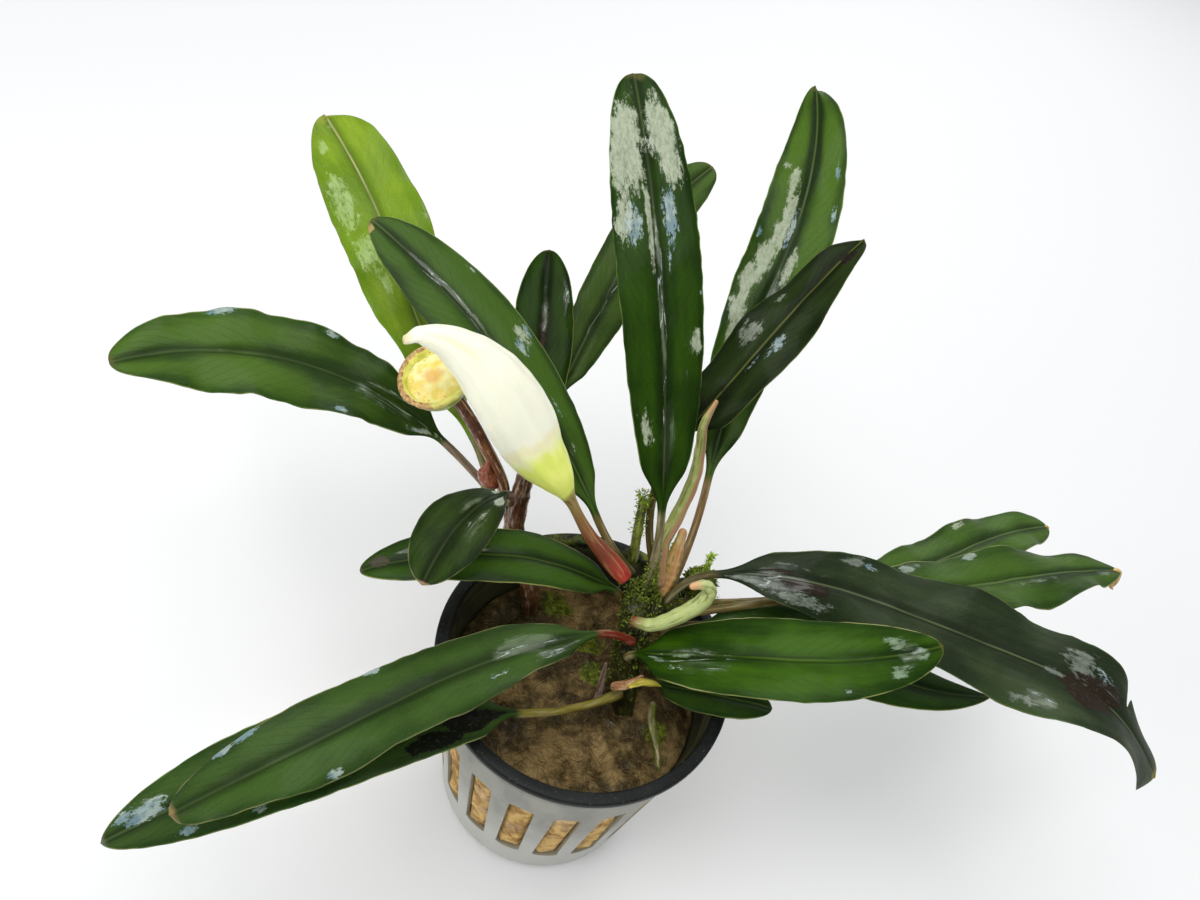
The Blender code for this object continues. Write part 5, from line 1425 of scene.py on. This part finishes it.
# The spent flower. Its striped stalk, with the knob of an old bud at its side, ends in a
# bell-shaped cup with a thick pale rim that has dried brown on one side. The berries in it
# have grown together into one knobbly yellow mass.
CUP_STALK = ((-24.3, 14.2, 58.4, 1.0), (-24.7, 15.3, 65.0, 1.1), (-30.6, 17.2, 72.0, 1.1),
             (-35.2, 18.5, 76.2, 1.1), (-38.6, 19.2, 78.6, 1.2))
BUD_KNOB = ((-26.2, 15.0, 65.4, 1.2), (-27.0, 14.7, 66.0, 1.6), (-27.9, 14.7, 67.2, 1.6),
            (-28.1, 15.1, 68.3, 0.8), (-28.3, 15.9, 69.8, 0.3), (-29.0, 16.4, 71.2, 0.25))
CUP_MIDDLE = (-40.1, 15.6, 84.0)
CUP_FACING = (-0.20, -0.31, 0.87)
CUP_RADIUS = 6.0
CUP_DEPTH = 6.8
CUP_WALL = 0.95
BERRY_REACH = 1.495
BERRY_CREASE = 9
DRIED_SIDE = (-0.85, -0.53, 0.0)
cup_turn = np.array(Vector(CUP_FACING).to_track_quat("Z", "Y").to_matrix())


def in_cup(local):
    """Points of the cup's own frame, with its origin in the middle of the mouth, in place."""
    return np.asarray(local) @ cup_turn.T + np.array(CUP_MIDDLE)


def cup_bowl():
    """The outer face, r = R sin a and z = -D (1 - sin^3 a) for a from 0 to a quarter turn,
    then over the rounded rim and back down the inner face. The rim is a little uneven."""
    turn = whole_turn(120)[None, :]
    quarter = np.linspace(0.06, math.pi / 2, 30)[:, None]
    out = CUP_RADIUS * np.sin(quarter)
    high = -CUP_DEPTH * (1 - np.sin(quarter) ** 3)
    near_rim = smoothly(0.75, 1.0, np.sin(quarter))
    uneven = 0.10 * np.sin(3 * turn) + 0.07 * np.sin(7 * turn + 1.0)
    outer = spun(out, turn, high - 0.25 * near_rim + uneven * near_rim)
    inner = spun(np.maximum(out - CUP_WALL, 0.05), turn,
                 high + (uneven - 0.20) * near_rim + CUP_WALL * (1 - near_rim))
    lip = np.linspace(0, math.pi, 7)[1:-1][:, None]
    over = spun(CUP_RADIUS - CUP_WALL / 2 + CUP_WALL / 2 * np.cos(lip), turn,
                0.38 * np.sin(lip) - 0.22 + uneven)
    rings = np.concatenate([outer, over, inner[::-1]])
    wave = 1 + 0.02 * lumps(rings, 2.0, 61)[..., None] * np.array([1, 1, 0])
    crust = smoothly(0.93, 1.0, np.hypot(rings[..., 0], rings[..., 1]) / CUP_RADIUS)
    flake = 0.30 * np.maximum(lumps(rings, 0.8, 62), 0) * crust * (rings[..., 2] > -1.6)
    wave = wave + flake[..., None] * np.array([0.16, 0.16, 0])
    height = rings[..., 2] / CUP_DEPTH + 1
    inside = np.concatenate([np.zeros(30), np.linspace(0, 1, 7)[1:-1], np.ones(30)])
    return in_cup(rings * wave), {"high": with_ends(height),
                                  "inside": with_ends(inside[:, None] + 0 * turn)}


def dried_towards(place):
    """The socket of how many millimetres a place lies from the cup's middle towards the side
    that has dried."""
    middle = float(np.dot(unit(np.array(DRIED_SIDE)), CUP_MIDDLE))
    return weighed(-middle, (along_way(place, DRIED_SIDE), 1 / MM))


def cup_finish():
    """Green outside, a pale yellow rim and lining, and dry brown crust along one side."""
    made, tree = new_material("cup_green")
    place = object_place(tree)
    high, inside = mark(tree, "high"), mark(tree, "inside")
    middle = cloud(place, 420, 4, 0.6)
    fine = cloud(place, 1700, 3, 0.6)
    outside = laid(paint(128, 150, 52), paint(186, 204, 96), middle, 0.35, 0.65)
    rim = weighed(0.0, (high, 1.0), (middle, 0.12))
    outside = laid(outside, paint(236, 228, 128), rim, 0.88, 1.0)
    lining = laid(paint(196, 210, 90), paint(244, 238, 140), middle, 0.35, 0.65)
    colour = laid(outside, lining, inside, 0.35, 0.8)
    brown = laid(paint(154, 112, 66), paint(212, 176, 116), fine, 0.35, 0.65)
    side = ease(weighed(-0.3, (dried_towards(place), 0.28), (middle, 1.8)), 0.3, 1.0)
    ragged = weighed(-0.45, (inside, 1.0), (fine, 0.9))
    shell = both(ease(ragged, 0.92, 0.74), ease(rim, 0.82, 0.9))
    colour = mix_colours(both(side, shell), colour, brown)
    return surfaced(made, {
        "Base Color": colour, "Roughness": ease(middle, 0.3, 0.7, 0.35, 0.6),
        "Specular IOR Level": 0.3, "Coat Weight": ease(middle, 0.4, 0.6, 0.0, 0.3),
        "Coat Roughness": 0.15, "Subsurface Weight": 0.2,
        "Subsurface Radius": (1.0, 0.9, 0.3), "Subsurface Scale": 0.001,
        "Normal": bumped(weighed(0.0, (middle, 1.0), (fine, 1.0)), 0.15)})


def berry_mass():
    """A round plug whose top is the soft maximum of fifteen domes, h - d^2 / 2b with d from a
    dome's middle, in rings of one, five and nine; below its edge it goes straight down."""
    middles, heights = [], []
    for number, (radius, count) in enumerate(((0.0, 1), (1.75, 5), (3.45, 9))):
        around = 2 * math.pi * (np.arange(count) + 0.4 * number) / count
        middles.append(np.stack([radius * np.cos(around), radius * np.sin(around)], axis=-1))
        heights.append(np.full(count, 0.05 - 0.05 * radius ** 2))
    middles, heights = np.concatenate(middles), np.concatenate(heights)
    heights = heights + np.random.default_rng(7).uniform(-0.12, 0.12, len(heights))
    turn = whole_turn(108)[None, :]
    out = np.append(np.linspace(0.08, 4.55, 38), [4.70, 4.72, 3.6, 0.3])[:, None]
    level = np.append(np.zeros(38), [0.35, 1.6, 2.0, 2.0])[:, None]
    across, deep = out * np.cos(turn), out * np.sin(turn)
    apart = (across[..., None] - middles[:, 0]) ** 2 + (deep[..., None] - middles[:, 1]) ** 2
    domes = heights - apart / (2 * BERRY_REACH)
    high = np.log(np.exp(BERRY_CREASE * domes).sum(axis=-1)) / BERRY_CREASE
    high = np.where(out < 4.6, np.maximum(high, -1.3), -1.0) - level
    rings = joined(across, deep, high)
    rings[..., 2] += 0.07 * lumps(rings, 0.7, 63)
    hollow = smoothly(-0.15, -0.75, high + 0.05 * out ** 2)
    return in_cup(rings), {"out": with_ends(out + 0 * turn), "hollow": with_ends(hollow)}


def berry_finish():
    """Pale yellow, slightly clear flesh, a deeper and darker yellow in the hollows, with an
    orange-brown stain in the middle and brown freckles towards the edge."""
    made, tree = new_material("berry_yellow")
    place = object_place(tree)
    out, hollow = mark(tree, "out"), mark(tree, "hollow")
    middle = cloud(place, 480, 3, 0.6)
    fine = cloud(place, 1700, 3, 0.65)
    colour = laid(paint(250, 226, 122), paint(255, 248, 186), middle, 0.35, 0.62)
    colour = mix_colours(sums("MULTIPLY", hollow, 0.55), colour, paint(232, 196, 96))
    stain = weighed(0.0, (out, 1.0), (middle, -2.6))
    colour = laid(colour, paint(238, 180, 96), stain, 0.7, -0.5, 0.7)
    freckle = both(ease(out, 2.6, 4.2), ease(fine, 0.56, 0.68, 0, 0.8))
    colour = mix_colours(freckle, colour, paint(198, 142, 70))
    return surfaced(made, {
        "Base Color": colour, "Roughness": ease(middle, 0.3, 0.7, 0.3, 0.5),
        "Specular IOR Level": 0.35, "Subsurface Weight": 0.25,
        "Subsurface Radius": (1.0, 0.7, 0.3), "Subsurface Scale": 0.0012,
        "Normal": bumped(weighed(0.0, (middle, 1.0), (fine, 0.8)), 0.08)})


rings, values = cup_bowl()
cup = make_piece("cup_bowl", *closed_rows(rings), values)
settle(cup, cup_finish(), "fruit_cup")
for name, path, skin in (
        # The striped stalk's pale lines are painted sheen.
        ("cup_stalk", CUP_STALK, bark("stalk_striped", (86, 42, 22), (128, 76, 44),
                                      (204, 170, 130), 0.9, 0.8, 0.06)),
        ("bud_knob", BUD_KNOB, bark("bud_brown", (96, 36, 20), (146, 70, 42),
                                    (200, 150, 110), 0.3, 0.9, 0.06))):
    round_piece(name, path, 32, None, skin, "fruit_cup")
rings, values = berry_mass()
berries = make_piece("berry_cluster", *closed_rows(rings), values)
settle(berries, berry_finish(), "berries")


# Dry scales. Papery leaf sheaths that have come loose at the foot of the stem, one a
# pinkish-grey sliver and one tan with a scrap of yellow leaf still in it.
FRONT_SCALE = ((4.9, -3.6, 43.4, 0.9), (4.4, -2.8, 46.5, 0.7), (3.6, -1.4, 52.5, 0.35))
SIDE_SCALE = ((6.6, -2.9, 49.5, 0.9), (8.4, -2.2, 50.5, 1.0), (10.0, -0.6, 51.6, 0.6))
YELLOW_SCRAP = ((8.9, -2.7, 51.4, 0.45), (10.6, -1.6, 52.2, 0.75), (12.4, -1.0, 52.3, 0.55),
                (13.6, -0.8, 52.0, 0.12))
for name, path, node, skin in (
        ("scale_front", FRONT_SCALE, "dry_scale_front",
         bark("scale_grey", (92, 72, 60), (150, 124, 112), (190, 168, 156), 0.7, 0.1)),
        ("scale_side", SIDE_SCALE, "dry_scale_side",
         bark("scale_tan", (140, 94, 56), (200, 156, 110), (236, 206, 168), 0.7, 0.2)),
        ("scrap_yellow", YELLOW_SCRAP, "dry_scale_side",
         bark("scrap_gold", (168, 150, 50), (214, 196, 76), (236, 222, 130), 0.5, 0.2))):
    round_piece(name, path, 28, scale_swell, skin, node)


# The moss. A lumpy cushion of fine leafy shoots beside the crown with one upright sprig, beads
# of it on top of the stub, and a thin felt of the same moss over the stem and the leaf feet.
MOSS_MIDDLE = np.array([13.2, 15.8, 60.9])
MOSS_RADIUS = 2.9
MOSS_SPRIG = ((13.2, 17.0, 61.6, 0.10), (13.3, 17.6, 63.3, 0.10), (13.1, 17.9, 65.2, 0.08),
              (13.3, 18.2, 66.6, 0.04))
TUFT_COUNT, FELT_COUNT, STUB_COUNT, SPRIG_COUNT = 1300, 2000, 420, 130
LEAF_FEET = (
    (((4.9, 8.9, 60.8, 0.9), (4.7, 9.6, 64.0, 0.8), (4.4, 10.6, 67.0, 0.75)), 240),
    (((8.6, 11.0, 58.4, 1.0), (12.0, 12.4, 58.9, 0.8), (18.0, 15.4, 58.6, 0.8)), 330),
    (((1.6, 9.0, 62.4, 1.2), (2.6, 8.6, 60.6, 1.6), (4.0, 7.6, 58.0, 2.0)), 170),
    (((6.8, 11.8, 61.6, 1.4), (5.6, 13.6, 65.0, 1.6), (4.8, 15.6, 67.4, 1.6)), 160))


def moss_ball():
    """A ball whose radius is pushed out and in by lumps of two sizes."""
    down = np.linspace(0, math.pi, 42)[1:-1][:, None]
    ball = spun(np.sin(down), whole_turn(64)[None, :], np.cos(down))
    swell = 0.80 + 0.14 * lumps(ball * MOSS_RADIUS, 1.5, 81) + 0.10 * lumps(
        ball * MOSS_RADIUS, 0.6, 82)
    return MOSS_MIDDLE + ball * MOSS_RADIUS * swell[..., None]


def leaflets(places, ways, lengths, dice):
    """Tiny closed moss leaves, spindles of six points: foot, tip, two sides, front and back."""
    ways = unit(ways)
    side = unit(np.cross(ways, dice.normal(size=ways.shape)))
    over = np.cross(ways, side)
    long = np.asarray(lengths)[:, None]
    middle = places + ways * long * 0.45
    points = np.stack([places, places + ways * long, middle + side * long * 0.20,
                       middle - side * long * 0.20, middle + over * long * 0.07,
                       middle - over * long * 0.07], axis=1)
    faces = np.array([(0, 4, 2), (0, 2, 5), (0, 5, 3), (0, 3, 4), (1, 2, 4), (1, 5, 2), (1, 3, 5),
                      (1, 4, 3)])
    triangles = faces[None] + 6 * np.arange(len(places))[:, None, None]
    return points.reshape(-1, 3), np.zeros((0, 4), int), triangles.reshape(-1, 3)


def around_path(path, count, dice, spread=0.25):
    """Places scattered on the skin of a round path, and ways out of it, leaning upwards."""
    rows = smooth_path(path, 16)
    chosen = rows[dice.integers(0, len(rows), count)]
    out = unit(dice.normal(size=(count, 3)))
    places = chosen[:, :3] + out * chosen[:, 3:] + spread * dice.normal(size=(count, 3))
    return places, out + 0.7 * dice.normal(size=(count, 3)) + [0, 0, 0.5]


def moss_look():
    """Olive to yellow-green, lighter on the fresh leaves."""
    look, given, result = shared_look(
        "moss_green", Dark=paint(36, 44, 10), Light=paint(96, 108, 34), Fresh=paint(176, 206, 72))
    place = object_place(look)
    middle = cloud(place, 600, 4, 0.65)
    fine = cloud(place, 2600, 2, 0.6)
    colour = laid(given["Dark"], given["Light"], middle, 0.35, 0.65)
    colour = mix_colours(mark(look, "fresh"), colour, given["Fresh"])
    colour = laid(colour, given["Dark"], fine, 0.45, 0.3, 0.5)
    return put_out(result, colour, ease(fine, 0.3, 0.7, 0.5, 0.85),
                   ease(middle, 0.55, 0.7, 0, 0.3), fine)


moss_surface = moss_look()
points, quads, fans = closed_rows(moss_ball())
moss = make_piece("moss_cushion", points, quads, fans,
                  {"fresh": smoothly(0.4, 1.0, unit(points - MOSS_MIDDLE)[:, 2]) * 0.25})
settle(moss, finish_from(
    moss_surface, "moss_deep", {"Dark": paint(22, 26, 6), "Light": paint(66, 74, 20)}, 0.2,
    Specular_IOR_Level=0.2, Coat_Roughness=0.2), "moss_clump")

dice = np.random.default_rng(83)
outward = unit(dice.normal(size=(TUFT_COUNT, 3)))
tuft = (MOSS_MIDDLE + outward * MOSS_RADIUS * dice.uniform(0.66, 0.90, (TUFT_COUNT, 1)),
        outward + 0.9 * dice.normal(size=(TUFT_COUNT, 3)))
tuft_fresh = smoothly(0.1, 0.9, outward @ unit(np.array([0.3, 0.4, 0.9]))) * dice.random(
    TUFT_COUNT)
bark_places = round_rings(smooth_path(MAIN_STEM, 16), 60, stem_swell).reshape(-1, 3)
bark_places = bark_places[bark_places[:, 2] > 43]
felt_weight = 0.25 + smoothly(46, 59, bark_places[:, 2])
chosen = dice.choice(len(bark_places), FELT_COUNT, p=felt_weight / felt_weight.sum())
felt = (bark_places[chosen] + 0.18 * dice.normal(size=(FELT_COUNT, 3)),
        dice.normal(size=(FELT_COUNT, 3)) + [0, -0.2, 0.6])
stub_top = around_path(SPENT_STALK[1:] + ((-1.5, 20.4, 71.4, 0.9),), STUB_COUNT, dice, 0.2)
sprig = around_path(MOSS_SPRIG, SPRIG_COUNT, dice, 0.06)
feet = [around_path(path, count, dice, 0.2) for path, count in LEAF_FEET]
foot_counts = [count for path, count in LEAF_FEET]
fresh = np.concatenate(
    [tuft_fresh, 0.6 * dice.random(FELT_COUNT) ** 3, 0.4 + 0.6 * dice.random(STUB_COUNT),
     0.85 + 0.15 * dice.random(SPRIG_COUNT)]
    + [0.9 * dice.random(count) ** 2.5 for count in foot_counts])
lengths = np.concatenate([dice.uniform(low, high, count) for low, high, count in (
    (0.5, 1.3, TUFT_COUNT + FELT_COUNT), (0.4, 0.9, STUB_COUNT), (0.6, 1.2, SPRIG_COUNT),
    (0.35, 0.9, sum(foot_counts)))])
places, ways = (np.concatenate(rows) for rows in zip(tuft, felt, stub_top, sprig, *feet))
moss_leaves = make_piece("moss_leaflets", *leaflets(places, ways, lengths, dice),
                         {"fresh": np.repeat(np.clip(fresh, 0, 1), 6)})
settle(moss_leaves, finish_from(
    moss_surface, "moss_bright", {"Dark": paint(46, 54, 12), "Light": paint(104, 116, 36)}, 0.1,
    Specular_IOR_Level=0.2, Coat_Roughness=0.2), "moss_clump")
